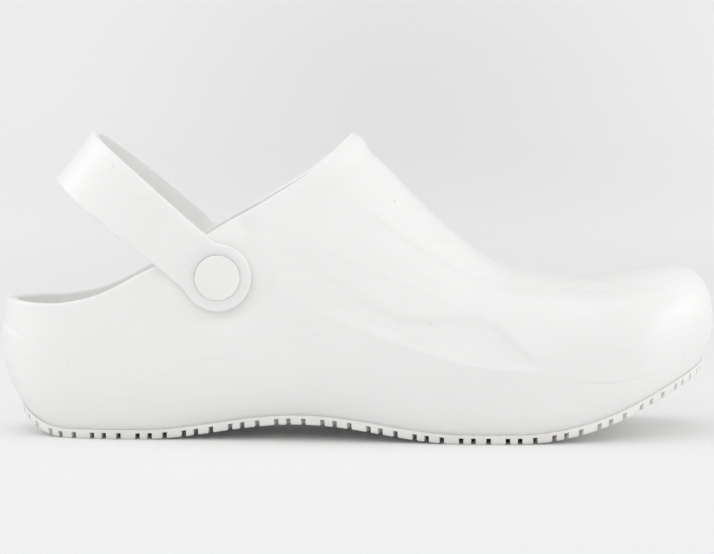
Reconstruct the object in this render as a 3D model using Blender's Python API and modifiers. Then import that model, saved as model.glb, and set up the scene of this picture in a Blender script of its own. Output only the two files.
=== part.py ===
"""A white moulded work clog for the right foot, size EU 42.

The upper and its midsole are one hollow foamed body on a thin rubber outsole. A loose
insole lies inside, and a heel strap is turned up on a rivet at each side.

Sizes are in millimetres, measured from the back of the heel (x), from the heel's middle
plane (y, with the outer side of the foot at minus y) and from the floor (z). The meshes
are written in metres, with the origin under the middle of the shoe.
"""

import math
from collections import namedtuple

import bmesh
import bpy
import numpy as np

MM = 0.001
GAP = 0.35                 # clearance between pieces that meet
LATERAL = -1
MEDIAL = 1
SIDES = (LATERAL, MEDIAL)

# Overall form
LENGTH = 290.0             # back of the heel to the tip of the toe
THROAT_X = 143.6           # the collar's peak over the instep
HEEL_FAN = 36.0            # the heel's sections turn about a point this far from the back
TOE_FAN = 18.0             # the toe's sections turn about a point this far from the tip
FAN_POWER = 4

# Sole
HEEL_FLAT = (29.0, 57.0)   # where the heel stands on the floor
BALL_FLAT = (188.0, 207.0)  # where the forefoot stands on the floor
ARCH_RISE = 6.6
HEEL_RADIUS = 26.0
HEEL_ARC = 0.95            # share of that radius the tread runs back along before the arc ends
TOE_RADIUS = 115.0
TOE_ANGLE = math.radians(26.0)
OUTSOLE_THICKNESS = 3.5
NOTCH_DEPTH = 2.5          # the notches between the edge lugs
CHANNEL_DEPTH = 2.1        # the channel between the edge lugs and the inner tread
TREAD_DEPTH = 1.7          # the inner tread's grooves
OUTSOLE_PROUD = 0.3        # how far the outsole's edge stands out from the body
OUTSOLE_DRAFT = 0.6        # how far the lugs' feet lie in from that edge
NOTCH_WIDTH = 1.9
EDGE_LUGS = (4.9, 6.1, 7.8)  # pitches of the short, medium and long edge lugs
NOTCH_START_X = 113.3      # on the outer edge, where a short lug begins
EDGE_LUG_LENGTH = 9.0      # from the edge inward
CHANNEL_WIDTH = 2.2
TREAD_PITCH = 12.6
TREAD_FIELD = (24.0, 262.0)
CHEVRON = 7.0              # how far a tread groove's middle lies ahead of its ends
CUT_PAST = 1.5             # how far a cutter reaches past what it cuts

# Upper
WALL = 3.8
TUCK_POWER = 2.2           # how late the wall turns in above the outsole
FLOOR_FILLET = 7.0         # between the cavity's wall and floor
FILLET_POWER = 3.0
RIM_CROWN = 1.2            # the rounded collar edge
INSOLE_THICKNESS = 4.0
INSOLE_CLEARANCE = 1.0

# Strap and rivets
RIVET_X = 90.3
RIVET_Z = 65.5
PAD_RISE = 0.8             # the wall's flat pad under the strap's eye
PAD_FLAT = 15.5
PAD_BLEND = 25.0
STRAP_ANGLE = math.radians(40.0)
STRAP_REACH = 72.9         # rivet axis to the inner face of the strap's bend
STRAP_POWER = 2.8          # how square the strap's bend is
STRAP_LEAN = 0.05          # how far the bend leans out, for each mm up its width
STRAP_THICKNESS = 3.4
EYE_THICKNESS = 4.8
EYE_RADIUS = 13.4
EYE_BLEND = (8.0, 30.0)    # where the eye's thickness runs out into the band
EDGE_SOFTENING = 14
STRAP_CHAMFER = 0.8
BUTTON_RADIUS = 8.75
BUTTON_THICKNESS = 2.0
BUTTON_CROWN = 0.3
BUTTON_SHOULDER = (0.6, 0.7)  # shares of radius and crown where the button's dome turns down
BUTTON_ROUND = 0.4
SHANK_RADIUS = 4.0
WASHER_RADIUS = 8.0
WASHER_THICKNESS = 1.8
WASHER_ROUND = 0.6

# How finely the forms are divided
REAR_STEPS = 22
FRONT_STEPS = 20
OUTER_ROWS = (4, 8)        # below and above the widest level
INNER_ROWS = (3, 7)
EDGE_STEPS = 64
HEEL_NOTCH_STEPS = 5       # where the tread curves up behind the heel
TREAD_STEPS = 4
EYE_STEPS = 7
BEND_STEPS = 26
TURN_STEPS = 24
FINE_STEPS = 400           # for measuring along a curve
COLLAR_PASSES = 6          # rounds of finding where a leaning section meets the collar
THROAT_SEARCH = 25.0       # the inner throat lies within this distance behind the outer one
TINY = 0.000001            # keeps a length off zero
WELD = 0.002 * MM          # points closer than this are one
SHARP_ANGLE = math.radians(40.0)

Outline = namedtuple("Outline", "x half_width centre")
OUTLINE = [
    Outline(0, 0.0, 0.0),
    Outline(10, 24.5, 0.0),
    Outline(35, 36.2, -0.5),
    Outline(70, 38.4, -1.5),
    Outline(110, 41.0, -2.5),
    Outline(150, 46.5, -2.5),
    Outline(190, 53.0, -0.8),
    Outline(215, 54.5, 1.2),
    Outline(240, 51.6, 3.4),
    Outline(262, 44.0, 5.4),
    Outline(280, 27.8, 6.6),
    Outline(290, 0.0, 7.0),
]

# The wall is widest at bulge_height and turns in by tuck at the outsole. Roundness is the
# power of the section's curve: 2 is an ellipse, and more is squarer.
Section = namedtuple("Section", "x bulge_height tuck roundness")
SECTIONS = [
    Section(0, 38.0, 7.5, 1.65),
    Section(35, 31.0, 5.0, 1.65),
    Section(75, 30.0, 5.0, 1.68),
    Section(115, 31.0, 6.0, 1.75),
    Section(150, 29.0, 5.5, 1.85),
    Section(190, 25.0, 4.5, 2.05),
    Section(220, 25.0, 4.0, 2.4),
    Section(250, 31.0, 4.0, 2.7),
    Section(275, 41.0, 4.2, 2.5),
    Section(290, 46.0, 4.5, 2.3),
]

# The last's top line. Behind the throat it closes the form above the collar.
TopLine = namedtuple("TopLine", "x height")
TOP_LINE = [
    TopLine(0, 140.0),
    TopLine(40, 152.0),
    TopLine(75, 159.5),
    TopLine(100, 155.0),
    TopLine(125, 137.0),
    TopLine(143.6, 121.0),
    TopLine(162.4, 101.8),
    TopLine(178.8, 85.6),
    TopLine(190, 76.0),
    TopLine(203, 68.0),
    TopLine(219.6, 64.4),
    TopLine(236, 62.7),
    TopLine(254, 65.3),
    TopLine(272, 67.3),
    TopLine(290, 66.4),
]

Collar = namedtuple("Collar", "x height")
COLLAR = [
    Collar(0, 55.1),
    Collar(7, 54.5),
    Collar(14, 54.2),
    Collar(26, 54.4),
    Collar(34, 55.7),
    Collar(42, 58.0),
    Collar(50, 61.7),
    Collar(58, 66.0),
    Collar(65, 69.6),
    Collar(86, 82.4),
    Collar(97, 88.9),
    Collar(106, 93.8),
    Collar(114, 98.6),
    Collar(122, 103.5),
    Collar(130, 109.6),
    Collar(137, 115.6),
    Collar(143.6, 121.0),
]

Floor = namedtuple("Floor", "x height")
CAVITY_FLOOR = [
    Floor(8, 21.0),
    Floor(40, 20.0),
    Floor(80, 18.8),
    Floor(120, 16.5),
    Floor(160, 13.0),
    Floor(195, 11.4),
    Floor(225, 13.2),
    Floor(250, 18.6),
    Floor(270, 27.2),
    Floor(285, 34.5),
]

# The strap's edges above and below the line along its limb, by the distance x from the rivet
Band = namedtuple("Band", "x upper lower")
BAND = [
    Band(0, 9.9, 11.7),
    Band(25, 10.2, 12.3),
    Band(50, 10.6, 13.8),
    Band(72.9, 10.4, 14.4),
]

Finish = namedtuple("Finish", "colour roughness")
FOAM = Finish((0.84, 0.84, 0.82), 0.5)
RUBBER = Finish((0.78, 0.77, 0.73), 0.6)
FOOTBED = Finish((0.82, 0.82, 0.8), 0.7)
RIVET_PLASTIC = Finish((0.86, 0.86, 0.85), 0.4)


def spline(table, column, power=1):
    """Natural cubic spline through one column of a table, of that column's power."""
    knots = np.array([row.x for row in table], dtype=float)
    values = np.array([getattr(row, column) for row in table], dtype=float) ** power
    count = len(knots)
    step = np.diff(knots)
    slope = np.diff(values) / step
    system = np.eye(count)
    bend = np.zeros(count)
    for i in range(1, count - 1):
        system[i, i - 1:i + 2] = (step[i - 1], 2 * (step[i - 1] + step[i]), step[i])
        bend[i] = 6 * (slope[i] - slope[i - 1])
    second = np.linalg.solve(system, bend)

    def evaluate(x):
        x = np.clip(x, knots[0], knots[-1])
        i = np.clip(np.searchsorted(knots, x) - 1, 0, count - 2)
        left = (x - knots[i]) / step[i]
        right = 1 - left
        curve = (left ** 3 - left) * second[i + 1] + (right ** 3 - right) * second[i]
        return left * values[i + 1] + right * values[i] + curve * step[i] ** 2 / 6

    return evaluate


half_width_squared = spline(OUTLINE, "half_width", power=2)
centre = spline(OUTLINE, "centre")
bulge_height = spline(SECTIONS, "bulge_height")
tuck = spline(SECTIONS, "tuck")
roundness = spline(SECTIONS, "roundness")
top_height = spline(TOP_LINE, "height")
collar_height = spline(COLLAR, "height")
floor_height = spline(CAVITY_FLOOR, "height")
band_upper = spline(BAND, "upper")
band_lower = spline(BAND, "lower")


def smooth_step(low, high, value):
    """Rise from 0 at low to 1 at high with level ends."""
    t = np.clip((value - low) / (high - low), 0, 1)
    return t * t * (3 - 2 * t)


def half_width(x):
    """Half the width of the outline: its square is smooth, so both ends close round."""
    return np.sqrt(np.maximum(half_width_squared(x), 0))


def ground(x):
    """Height of the tread: heel arc, flat, arch, flat, then the toe spring's arc and slope."""
    x = np.asarray(x, dtype=float)
    behind = np.clip(HEEL_FLAT[0] - x, 0, HEEL_RADIUS * HEEL_ARC)
    heel = HEEL_RADIUS - np.sqrt(HEEL_RADIUS ** 2 - behind ** 2)
    along = np.clip((x - HEEL_FLAT[1]) / (BALL_FLAT[0] - HEEL_FLAT[1]), 0, 1)
    arch = ARCH_RISE * (1 - np.cos(2 * math.pi * along)) / 2
    ahead = np.maximum(x - BALL_FLAT[1], 0)
    on_arc = np.minimum(ahead, TOE_RADIUS * math.sin(TOE_ANGLE))
    toe = TOE_RADIUS - np.sqrt(TOE_RADIUS ** 2 - on_arc ** 2)
    slope = (ahead - on_arc) * math.tan(TOE_ANGLE)
    return heel + arch + toe + slope


def spine_x(x):
    """Where the section from outline place x meets the top line: it fans at heel and toe."""
    from_back = (HEEL_FAN ** FAN_POWER + np.asarray(x, dtype=float) ** FAN_POWER) ** (1 / FAN_POWER)
    from_tip = (TOE_FAN ** FAN_POWER + (LENGTH - from_back) ** FAN_POWER) ** (1 / FAN_POWER)
    return LENGTH - from_tip


def stations(throat):
    """Outline places from heel to toe, close together at heel, throat and toe."""
    turn = (throat ** FAN_POWER - HEEL_FAN ** FAN_POWER) ** (1 / FAN_POWER)
    rear = turn * (1 - np.cos(np.linspace(0, math.pi, REAR_STEPS + 1))) / 2
    front = turn + (LENGTH - turn) * (1 - np.cos(np.linspace(0, math.pi, FRONT_STEPS + 1))) / 2
    return np.concatenate([rear, front[1:]])


class Ribs:
    """The last's sections at the given outline places on one side, with a wall taken off."""

    def __init__(self, x, side, wall=0.0):
        self.side = side
        self.wall = wall
        self.x = x
        self.y = centre(x) + side * half_width(x)
        self.top_x = spine_x(x)
        self.top_y = centre(self.top_x)
        run_x = self.top_x - self.x
        run_y = self.top_y - self.y
        self.reach = np.maximum(np.hypot(run_x, run_y), TINY)
        self.direction = np.stack([run_x / self.reach, run_y / self.reach], axis=-1)
        self.bulge = bulge_height(x)
        self.power = roundness(x)
        self.top = inner_top(self.top_x, wall)

    def place(self, inset, height):
        """Points at a distance in from the outline and a height, a row for each section."""
        plan_x = self.x[:, None] + inset * self.direction[:, :1]
        plan_y = self.y[:, None] + inset * self.direction[:, 1:]
        return np.stack([plan_x, plan_y, height + 0 * inset], axis=-1)

    def lower(self, rows):
        """From the bottom edge up to the widest level."""
        share = np.linspace(1, 0, rows + 1)[None, :]
        if self.wall:
            inset = self.wall + FLOOR_FILLET * share ** FILLET_POWER
            foot = floor_height(self.x + inset[:, 0] * self.direction[:, 0])
        else:
            inset = tuck(self.x)[:, None] * share ** TUCK_POWER
            edge_x = self.x + inset[:, 0] * self.direction[:, 0]
            foot = ground(edge_x) + OUTSOLE_THICKNESS + GAP
        return self.place(inset, self.bulge[:, None] - share * (self.bulge - foot)[:, None])

    def inset_at(self, rise):
        """Distance in from the outline where a section has risen by a share of its height."""
        power = self.power
        return self.wall + (self.reach - self.wall) * (1 - (1 - rise ** power) ** (1 / power))

    def collar_rise(self):
        """Share of each section's height at which the collar or the top line ends it."""
        rise = np.ones_like(self.x)
        at = self.x.copy()
        for _ in range(COLLAR_PASSES):
            rise = (collar_height(at) - RIM_CROWN - self.bulge) / (self.top - self.bulge)
            rise = np.clip(rise, 0, 1)
            at = self.x + self.inset_at(rise) * self.direction[:, 0]
        rise[REAR_STEPS:] = 1
        return rise

    def upper(self, rows):
        """From the widest level up to the collar, or to the top line ahead of the throat."""
        last_angle = np.arcsin(self.collar_rise() ** (self.power / 2))
        angle = last_angle[:, None] * np.linspace(0, 1, rows + 1)[None, :]
        rise = np.clip(np.sin(angle), 0, 1) ** (2 / self.power[:, None])
        closing = np.clip(np.cos(angle), 0, 1) ** (2 / self.power[:, None])
        inset = self.wall + (self.reach - self.wall)[:, None] * (1 - closing)
        height = self.bulge[:, None] + rise * (self.top - self.bulge)[:, None]
        return self.place(inset, height)

    def skin(self, rows):
        """The whole side as a grid of points, from the bottom edge upward."""
        points = np.concatenate([self.lower(rows[0]), self.upper(rows[1])[:, 1:]], axis=1)
        return press_pad(points, self.side, self.wall)


def inner_top(x, wall):
    """The top line's height with the wall's thickness taken off square to its slope."""
    slope = (top_height(x + 1) - top_height(x - 1)) / 2
    return top_height(x) - wall * np.sqrt(1 + slope ** 2)


def inner_throat(wall):
    """Where the collar meets the inner top line."""
    x = np.linspace(THROAT_X - THROAT_SEARCH, THROAT_X, FINE_STEPS)
    headroom = inner_top(x, wall) - (collar_height(x) - RIM_CROWN)
    return float(np.interp(0, -headroom, x))


def pad_y(side):
    """Y of the flat pad under the strap's eye, on the outside of the wall."""
    rib = Ribs(np.array([RIVET_X]), side)
    inset = rib.inset_at((RIVET_Z - rib.bulge) / (rib.top - rib.bulge))
    return float(rib.y[0] + inset[0] * rib.direction[0, 1] + side * PAD_RISE)


def press_pad(points, side, wall):
    """Flatten the wall round the rivet, so that the strap's eye lies on a plane."""
    away = np.hypot(points[..., 0] - RIVET_X, points[..., 2] - RIVET_Z)
    weight = 1 - smooth_step(PAD_FLAT, PAD_BLEND, away)
    plane = pad_y(side) - side * wall
    points[..., 1] += weight * (plane - points[..., 1])
    return points


def frame_middle():
    """The point on the floor under the middle of the shoe's box."""
    x = np.linspace(0, LENGTH, FINE_STEPS)
    inner_side = np.max(centre(x) + half_width(x))
    outer_side = np.min(centre(x) - half_width(x))
    return np.array([LENGTH / 2, (inner_side + outer_side) / 2, 0.0])


def to_frame(points):
    """Turn shoe millimetres into metres about the origin under the middle of the shoe."""
    return (np.asarray(points) - frame_middle()) * MM


def join_grids(grids):
    """A mesh of quads over grids of points, welded where the grids meet."""
    points = []
    faces = []
    for grid in grids:
        rows, columns = grid.shape[:2]
        index = np.arange(rows * columns).reshape(rows, columns) + sum(len(p) for p in points)
        quads = np.stack([index[:-1, :-1], index[1:, :-1], index[1:, 1:], index[:-1, 1:]], axis=-1)
        points.append(grid.reshape(-1, 3))
        faces.append(quads.reshape(-1, 4))
    mesh = bpy.data.meshes.new("grids")
    mesh.from_pydata(to_frame(np.concatenate(points)).tolist(), [], np.concatenate(faces).tolist())
    shape = bmesh.new()
    shape.from_mesh(mesh)
    bmesh.ops.remove_doubles(shape, verts=shape.verts, dist=WELD)
    bmesh.ops.dissolve_degenerate(shape, edges=shape.edges, dist=WELD)
    bmesh.ops.recalc_face_normals(shape, faces=shape.faces)
    shape.to_mesh(mesh)
    shape.free()
    return mesh


def make_material(name, finish):
    """A plain material in the finish's colour."""
    material = bpy.data.materials.new(name)
    material.use_nodes = True
    shader = material.node_tree.nodes["Principled BSDF"]
    shader.inputs["Base Color"].default_value = (*finish.colour, 1)
    shader.inputs["Roughness"].default_value = finish.roughness
    return material


def add_piece(name, mesh, finish, collection, parent):
    """Place a mesh as a named piece with its own material."""
    mesh.name = name
    mesh.materials.append(make_material(name, finish))
    mesh.shade_smooth()
    mesh.set_sharp_from_angle(angle=SHARP_ANGLE)
    piece = bpy.data.objects.new(name, mesh)
    collection.objects.link(piece)
    piece.parent = parent
    return piece


def add_cutter(name, mesh, collection):
    """Keep a mesh as a hidden cutter."""
    cutter = bpy.data.objects.new(name, mesh)
    cutter.hide_render = True
    cutter.display_type = "WIRE"
    collection.objects.link(cutter)
    return cutter


def cut(piece, cutter):
    """Take the cutter's shape out of the piece."""
    boolean = piece.modifiers.new(cutter.name, "BOOLEAN")
    boolean.operation = "DIFFERENCE"
    boolean.solver = "EXACT"
    boolean.object = cutter


def drill_mesh(radius, start_y, end_y):
    """A round bar along the rivet's axis."""
    mesh = bpy.data.meshes.new("drill")
    shape = bmesh.new()
    bmesh.ops.create_cone(shape, cap_ends=True, segments=TURN_STEPS, radius1=radius * MM,
                          radius2=radius * MM, depth=abs(end_y - start_y) * MM)
    turn = np.array([[1, 0, 0], [0, 0, 1], [0, -1, 0]])
    axis = to_frame([RIVET_X, (start_y + end_y) / 2, RIVET_Z])
    for vertex in shape.verts:
        vertex.co = turn @ np.array(vertex.co) + axis
    shape.to_mesh(mesh)
    shape.free()
    return mesh


def upper_mesh():
    """The moulded body: outer and inner skins, the collar's rim, the underside and the floor."""
    outer = {side: Ribs(stations(THROAT_X), side).skin(OUTER_ROWS) for side in SIDES}
    inner_x = stations(inner_throat(WALL))
    inner = {side: Ribs(inner_x, side, WALL).skin(INNER_ROWS) for side in SIDES}
    grids = list(outer.values()) + list(inner.values())
    for side in SIDES:
        outer_edge = outer[side][:REAR_STEPS + 1, -1]
        inner_edge = inner[side][:REAR_STEPS + 1, -1]
        crown = (outer_edge + inner_edge) / 2 + np.array([0, 0, RIM_CROWN])
        grids.append(np.stack([outer_edge, crown, inner_edge]))
    grids.append(np.stack([outer[side][:, 0] for side in SIDES]))
    grids.append(np.stack([inner[side][:, 0] for side in SIDES]))
    return join_grids(grids)


def insole_mesh():
    """The loose insole, a slab that follows the cavity's floor clear of its walls."""
    x = stations(inner_throat(WALL))
    rows = {}
    for side in SIDES:
        ribs = Ribs(x, side, WALL)
        inset = np.full((len(x), 1), WALL + FLOOR_FILLET + INSOLE_CLEARANCE)
        under = floor_height(x + inset[:, 0] * ribs.direction[:, 0])[:, None] + GAP
        low = ribs.place(inset, under)[:, 0]
        high = ribs.place(inset, under + INSOLE_THICKNESS)[:, 0]
        rows[side] = (low, high)
    (low_lateral, high_lateral), (low_medial, high_medial) = rows[LATERAL], rows[MEDIAL]
    return join_grids([
        np.stack([low_lateral, low_medial]),
        np.stack([high_lateral, high_medial]),
        np.stack([low_lateral, high_lateral]),
        np.stack([low_medial, high_medial]),
    ])


def sole_edge(side, draft=0.0):
    """Plan of the outsole's edge on one side, from heel to toe."""
    ribs = Ribs(stations(THROAT_X), side)
    inset = (tuck(ribs.x) - OUTSOLE_PROUD + draft)[:, None]
    return ribs.place(inset, np.zeros_like(inset))[:, 0, :2]


def on_sole(plan, above):
    """Points over a plan at a height above the tread."""
    return np.concatenate([plan, (ground(plan[:, 0]) + above)[:, None]], axis=1)


def outsole_mesh():
    """The outsole before its tread is cut: a curved slab of even thickness."""
    low = [on_sole(sole_edge(side, OUTSOLE_DRAFT), 0) for side in SIDES]
    high = [on_sole(sole_edge(side), OUTSOLE_THICKNESS) for side in SIDES]
    return join_grids([
        np.stack(low),
        np.stack(high),
        np.stack([low[0], high[0]]),
        np.stack([low[1], high[1]]),
    ])


def even_steps(path, places):
    """Points at the given lengths along a path in plan."""
    length = np.concatenate([[0], np.cumsum(np.hypot(*np.diff(path, axis=0).T))])
    return np.stack([np.interp(places, length, path[:, axis]) for axis in (0, 1)], axis=1)


def path_length(path):
    """Length of a path in plan."""
    return float(np.sum(np.hypot(*np.diff(path, axis=0).T)))


def sole_loop():
    """The outsole's whole edge: up the outer side to the toe and back down the inner side."""
    return np.concatenate([sole_edge(LATERAL), sole_edge(MEDIAL)[-2::-1]])


def inward(path, closed):
    """Unit vectors to the left of a path in plan, which point into the sole on its loop."""
    if closed:
        ends = np.concatenate([path[-2:-1], path, path[1:2]])
        tangent = ends[2:] - ends[:-2]
    else:
        tangent = np.gradient(path, axis=0)
    tangent = tangent / np.linalg.norm(tangent, axis=1)[:, None]
    return np.stack([-tangent[:, 1], tangent[:, 0]], axis=1)


def groove_grids(path, width, depth, closed=False):
    """A cutter of even width and depth along a path under the sole."""
    aside = inward(path, closed) * width / 2
    left = [on_sole(path + aside, height) for height in (-CUT_PAST, depth)]
    right = [on_sole(path - aside, height) for height in (-CUT_PAST, depth)]
    ring = np.stack([left[0], left[1], right[1], right[0], left[0]])
    grids = [ring]
    if not closed:
        for end in (0, -1):
            grids.append(np.stack([ring[:2, end], ring[[3, 2], end]]))
    return grids


def notch_places(loop):
    """Lengths along the edge of the notches between short, medium and long lugs."""
    total = path_length(loop)
    lateral = sole_edge(LATERAL)
    nearest = np.argmin(np.abs(lateral[:, 0] - NOTCH_START_X))
    start = path_length(lateral[:nearest + 1]) + NOTCH_START_X - lateral[nearest, 0]
    periods = round(total / sum(EDGE_LUGS))
    scale = total / (periods * sum(EDGE_LUGS))
    steps = np.cumsum(np.tile(EDGE_LUGS, periods)) * scale
    return (start + steps) % total


def notch_cutter_mesh(loop):
    """The notches that divide the sole's edge into lugs."""
    places = notch_places(loop)
    dense = even_steps(loop, np.linspace(0, path_length(loop), FINE_STEPS + 1))
    facing = inward(dense, closed=True)
    share = places / path_length(loop) * FINE_STEPS
    index = np.arange(len(dense))
    at = np.stack([np.interp(share, index, dense[:, axis]) for axis in (0, 1)], axis=1)
    into = np.stack([np.interp(share, index, facing[:, axis]) for axis in (0, 1)], axis=1)
    grids = []
    for point, turn in zip(at, into):
        steps = HEEL_NOTCH_STEPS if point[0] < HEEL_FLAT[0] else 1
        reach = np.linspace(-CUT_PAST, EDGE_LUG_LENGTH + CHANNEL_WIDTH / 2, steps + 1)
        grids += groove_grids(point + reach[:, None] * turn, NOTCH_WIDTH, NOTCH_DEPTH)
    return join_grids(grids)


def channel_path(loop):
    """The middle of the channel between the edge lugs and the inner tread."""
    even = even_steps(loop, np.linspace(0, path_length(loop), EDGE_STEPS + 1))
    return even + inward(even, closed=True) * (EDGE_LUG_LENGTH + CHANNEL_WIDTH / 2)


def tread_cutter_mesh(loop):
    """Chevron grooves across the inner tread, from channel to channel."""
    channel = channel_path(loop)
    toe = int(np.argmax(channel[:, 0]))
    outer = channel[:toe + 1]
    inner = channel[:toe - 1:-1]
    grids = []
    for x in np.arange(*TREAD_FIELD, TREAD_PITCH):
        low = np.interp(x, outer[:, 0], outer[:, 1])
        high = np.interp(x, inner[:, 0], inner[:, 1])
        across = np.linspace(0, 1, TREAD_STEPS + 1)
        ahead = CHEVRON * (1 - np.abs(2 * across - 1))
        path = np.stack([x + ahead, low + across * (high - low)], axis=1)
        grids += groove_grids(path, NOTCH_WIDTH, TREAD_DEPTH)
    return join_grids(grids)


def strap_rows():
    """The strap's path from the outer eye round the bend to the inner eye.

    Returns the distance from the rivets' axis, the place across the shoe and the outward
    direction in that plane, one row for each section.
    """
    spread = (pad_y(MEDIAL) - pad_y(LATERAL)) / 2 + GAP
    tip = -EYE_RADIUS * np.cos(np.linspace(0, math.pi / 2, EYE_STEPS + 1))[:-1]
    angle = np.linspace(0, math.pi, BEND_STEPS + 1)
    away = STRAP_REACH * np.sin(angle) ** (2 / STRAP_POWER)
    across = -spread * np.sign(np.cos(angle)) * np.abs(np.cos(angle)) ** (2 / STRAP_POWER)
    away = np.concatenate([tip, away, tip[::-1]])
    across = np.concatenate([np.full(EYE_STEPS, -spread), across, np.full(EYE_STEPS, spread)])
    run = np.stack([np.gradient(away), np.gradient(across)], axis=1)
    run[:EYE_STEPS + 1] = (1, 0)
    run[-EYE_STEPS - 1:] = (-1, 0)
    run = run / np.linalg.norm(run, axis=1)[:, None]
    outward = np.stack([run[:, 1], -run[:, 0]], axis=1)
    return away, across, outward


def band_edge(away, edge):
    """Distance of a band edge from the axis line: the eye's circle run softly into the band."""
    eye = np.sqrt(np.maximum(EYE_RADIUS ** 2 - away ** 2, 0))
    band = edge(away) * np.clip((away + EYE_RADIUS) / EYE_RADIUS, 0, 1)
    return (eye ** EDGE_SOFTENING + band ** EDGE_SOFTENING) ** (1 / EDGE_SOFTENING)


def strap_mesh():
    """The heel strap: a flat band with chamfered edges carried along its path."""
    away, across, outward = strap_rows()
    upper = band_edge(away, band_upper)
    lower = -band_edge(away, band_lower)
    blend = smooth_step(*EYE_BLEND, away)
    thick = EYE_THICKNESS + (STRAP_THICKNESS - EYE_THICKNESS) * blend
    lean = STRAP_LEAN * smooth_step(EYE_BLEND[1], STRAP_REACH, away)
    soft = np.minimum(STRAP_CHAMFER, (upper - lower) / 2)
    zero = np.zeros_like(thick)
    corners = [
        (lower + soft, zero), (upper - soft, zero), (upper, soft), (upper, thick - soft),
        (upper - soft, thick), (lower + soft, thick), (lower, thick - soft), (lower, soft),
    ]
    along = np.array([-math.cos(STRAP_ANGLE), 0, math.sin(STRAP_ANGLE)])
    width = np.array([math.sin(STRAP_ANGLE), 0, math.cos(STRAP_ANGLE)])
    pivot = np.array([RIVET_X, (pad_y(LATERAL) + pad_y(MEDIAL)) / 2, RIVET_Z])
    rows = []
    for place, height in corners + corners[:1]:
        flat = np.stack([away + lean * place, across], axis=1) + height[:, None] * outward
        point = pivot + flat[:, :1] * along + place[:, None] * width
        point[:, 1] += flat[:, 1]
        rows.append(point)
    return join_grids([np.stack(rows)])


def turned_piece(name, profile, closed, side, base_y, collection, parent):
    """A round piece on the rivet's axis: a profile of radius and height with a Screw."""
    mesh = bpy.data.meshes.new(name)
    points = [(radius * MM, 0, height * MM) for radius, height in profile]
    edges = [(i, i + 1) for i in range(len(points) - 1)]
    if closed:
        edges.append((len(points) - 1, 0))
    mesh.from_pydata(points, edges, [])
    piece = add_piece(name, mesh, RIVET_PLASTIC, collection, parent)
    screw = piece.modifiers.new("turn", "SCREW")
    screw.axis = "Z"
    screw.steps = TURN_STEPS
    screw.render_steps = TURN_STEPS
    screw.use_merge_vertices = True
    screw.merge_threshold = WELD
    screw.use_smooth_shade = True
    piece.location = to_frame([RIVET_X, base_y, RIVET_Z])
    piece.rotation_euler = (-side * math.pi / 2, 0, 0)
    return piece


def add_rivet(side, label, collection, parent):
    """A rivet's outer button with its shank, and the washer on its inner end."""
    outer_face = pad_y(side) + side * (GAP + EYE_THICKNESS)
    inner_face = pad_y(side) - side * (WALL + GAP)
    under = -BUTTON_THICKNESS
    end = -abs(outer_face - inner_face) - WASHER_THICKNESS
    button = [
        (0, BUTTON_CROWN),
        (BUTTON_RADIUS * BUTTON_SHOULDER[0], BUTTON_CROWN * BUTTON_SHOULDER[1]),
        (BUTTON_RADIUS - BUTTON_ROUND, 0),
        (BUTTON_RADIUS, -BUTTON_ROUND),
        (BUTTON_RADIUS, under),
        (SHANK_RADIUS, under),
        (SHANK_RADIUS, end + BUTTON_ROUND),
        (SHANK_RADIUS - BUTTON_ROUND, end),
        (0, end),
    ]
    turned_piece(f"rivet_button_{label}", button, False, side, outer_face, collection, parent)
    bore = SHANK_RADIUS + GAP
    washer = [
        (bore, 0), (WASHER_RADIUS, 0), (WASHER_RADIUS, WASHER_ROUND - WASHER_THICKNESS),
        (WASHER_RADIUS - WASHER_ROUND, -WASHER_THICKNESS), (bore, -WASHER_THICKNESS),
    ]
    turned_piece(f"rivet_washer_{label}", washer, True, side, inner_face, collection, parent)


def cut_rivet_holes(upper, strap, side, label, cutters):
    """The shank's hole through wall and strap, and the seat for the button's head."""
    eye_face = pad_y(side) + side * (GAP + EYE_THICKNESS)
    seat = eye_face - side * (BUTTON_THICKNESS + GAP)
    past = eye_face + side * CUT_PAST
    inside = pad_y(side) - side * (WALL + CUT_PAST)
    hole = add_cutter(f"hole_{label}", drill_mesh(SHANK_RADIUS + GAP, inside, past), cutters)
    recess = add_cutter(f"seat_{label}", drill_mesh(BUTTON_RADIUS + GAP, seat, past), cutters)
    cut(upper, hole)
    cut(strap, hole)
    cut(strap, recess)


def main():
    """Build the clog."""
    for old in list(bpy.data.objects):
        bpy.data.objects.remove(old, do_unlink=True)
    parts = bpy.data.collections.new("safety_clog")
    cutters = bpy.data.collections.new("cutters")
    for collection in (parts, cutters):
        bpy.context.scene.collection.children.link(collection)
    root = bpy.data.objects.new("clog_root", None)
    parts.objects.link(root)

    upper = add_piece("moulded_upper", upper_mesh(), FOAM, parts, root)
    add_piece("insole", insole_mesh(), FOOTBED, parts, root)
    strap = add_piece("heel_strap", strap_mesh(), FOAM, parts, root)
    for side, label in ((LATERAL, "lateral"), (MEDIAL, "medial")):
        cut_rivet_holes(upper, strap, side, label, cutters)
        add_rivet(side, label, parts, root)

    outsole = add_piece("outsole", outsole_mesh(), RUBBER, parts, root)
    loop = sole_loop()
    ring = groove_grids(channel_path(loop), CHANNEL_WIDTH, CHANNEL_DEPTH, closed=True)
    channel = join_grids(ring)
    cut(outsole, add_cutter("tread_channel", channel, cutters))
    cut(outsole, add_cutter("edge_notches", notch_cutter_mesh(loop), cutters))
    cut(outsole, add_cutter("tread_grooves", tread_cutter_mesh(loop), cutters))


main()
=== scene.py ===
"""Looks of a white moulded work clog: fine surfaces, finishes, stage and camera.

Sizes are in millimetres in the shoe's own coordinates: x from the back of the heel, y from
the heel's middle plane with the outer side of the foot at minus y, and z from the floor.
to_frame turns them into the frame's metres.
"""

import math
from collections import namedtuple

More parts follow.
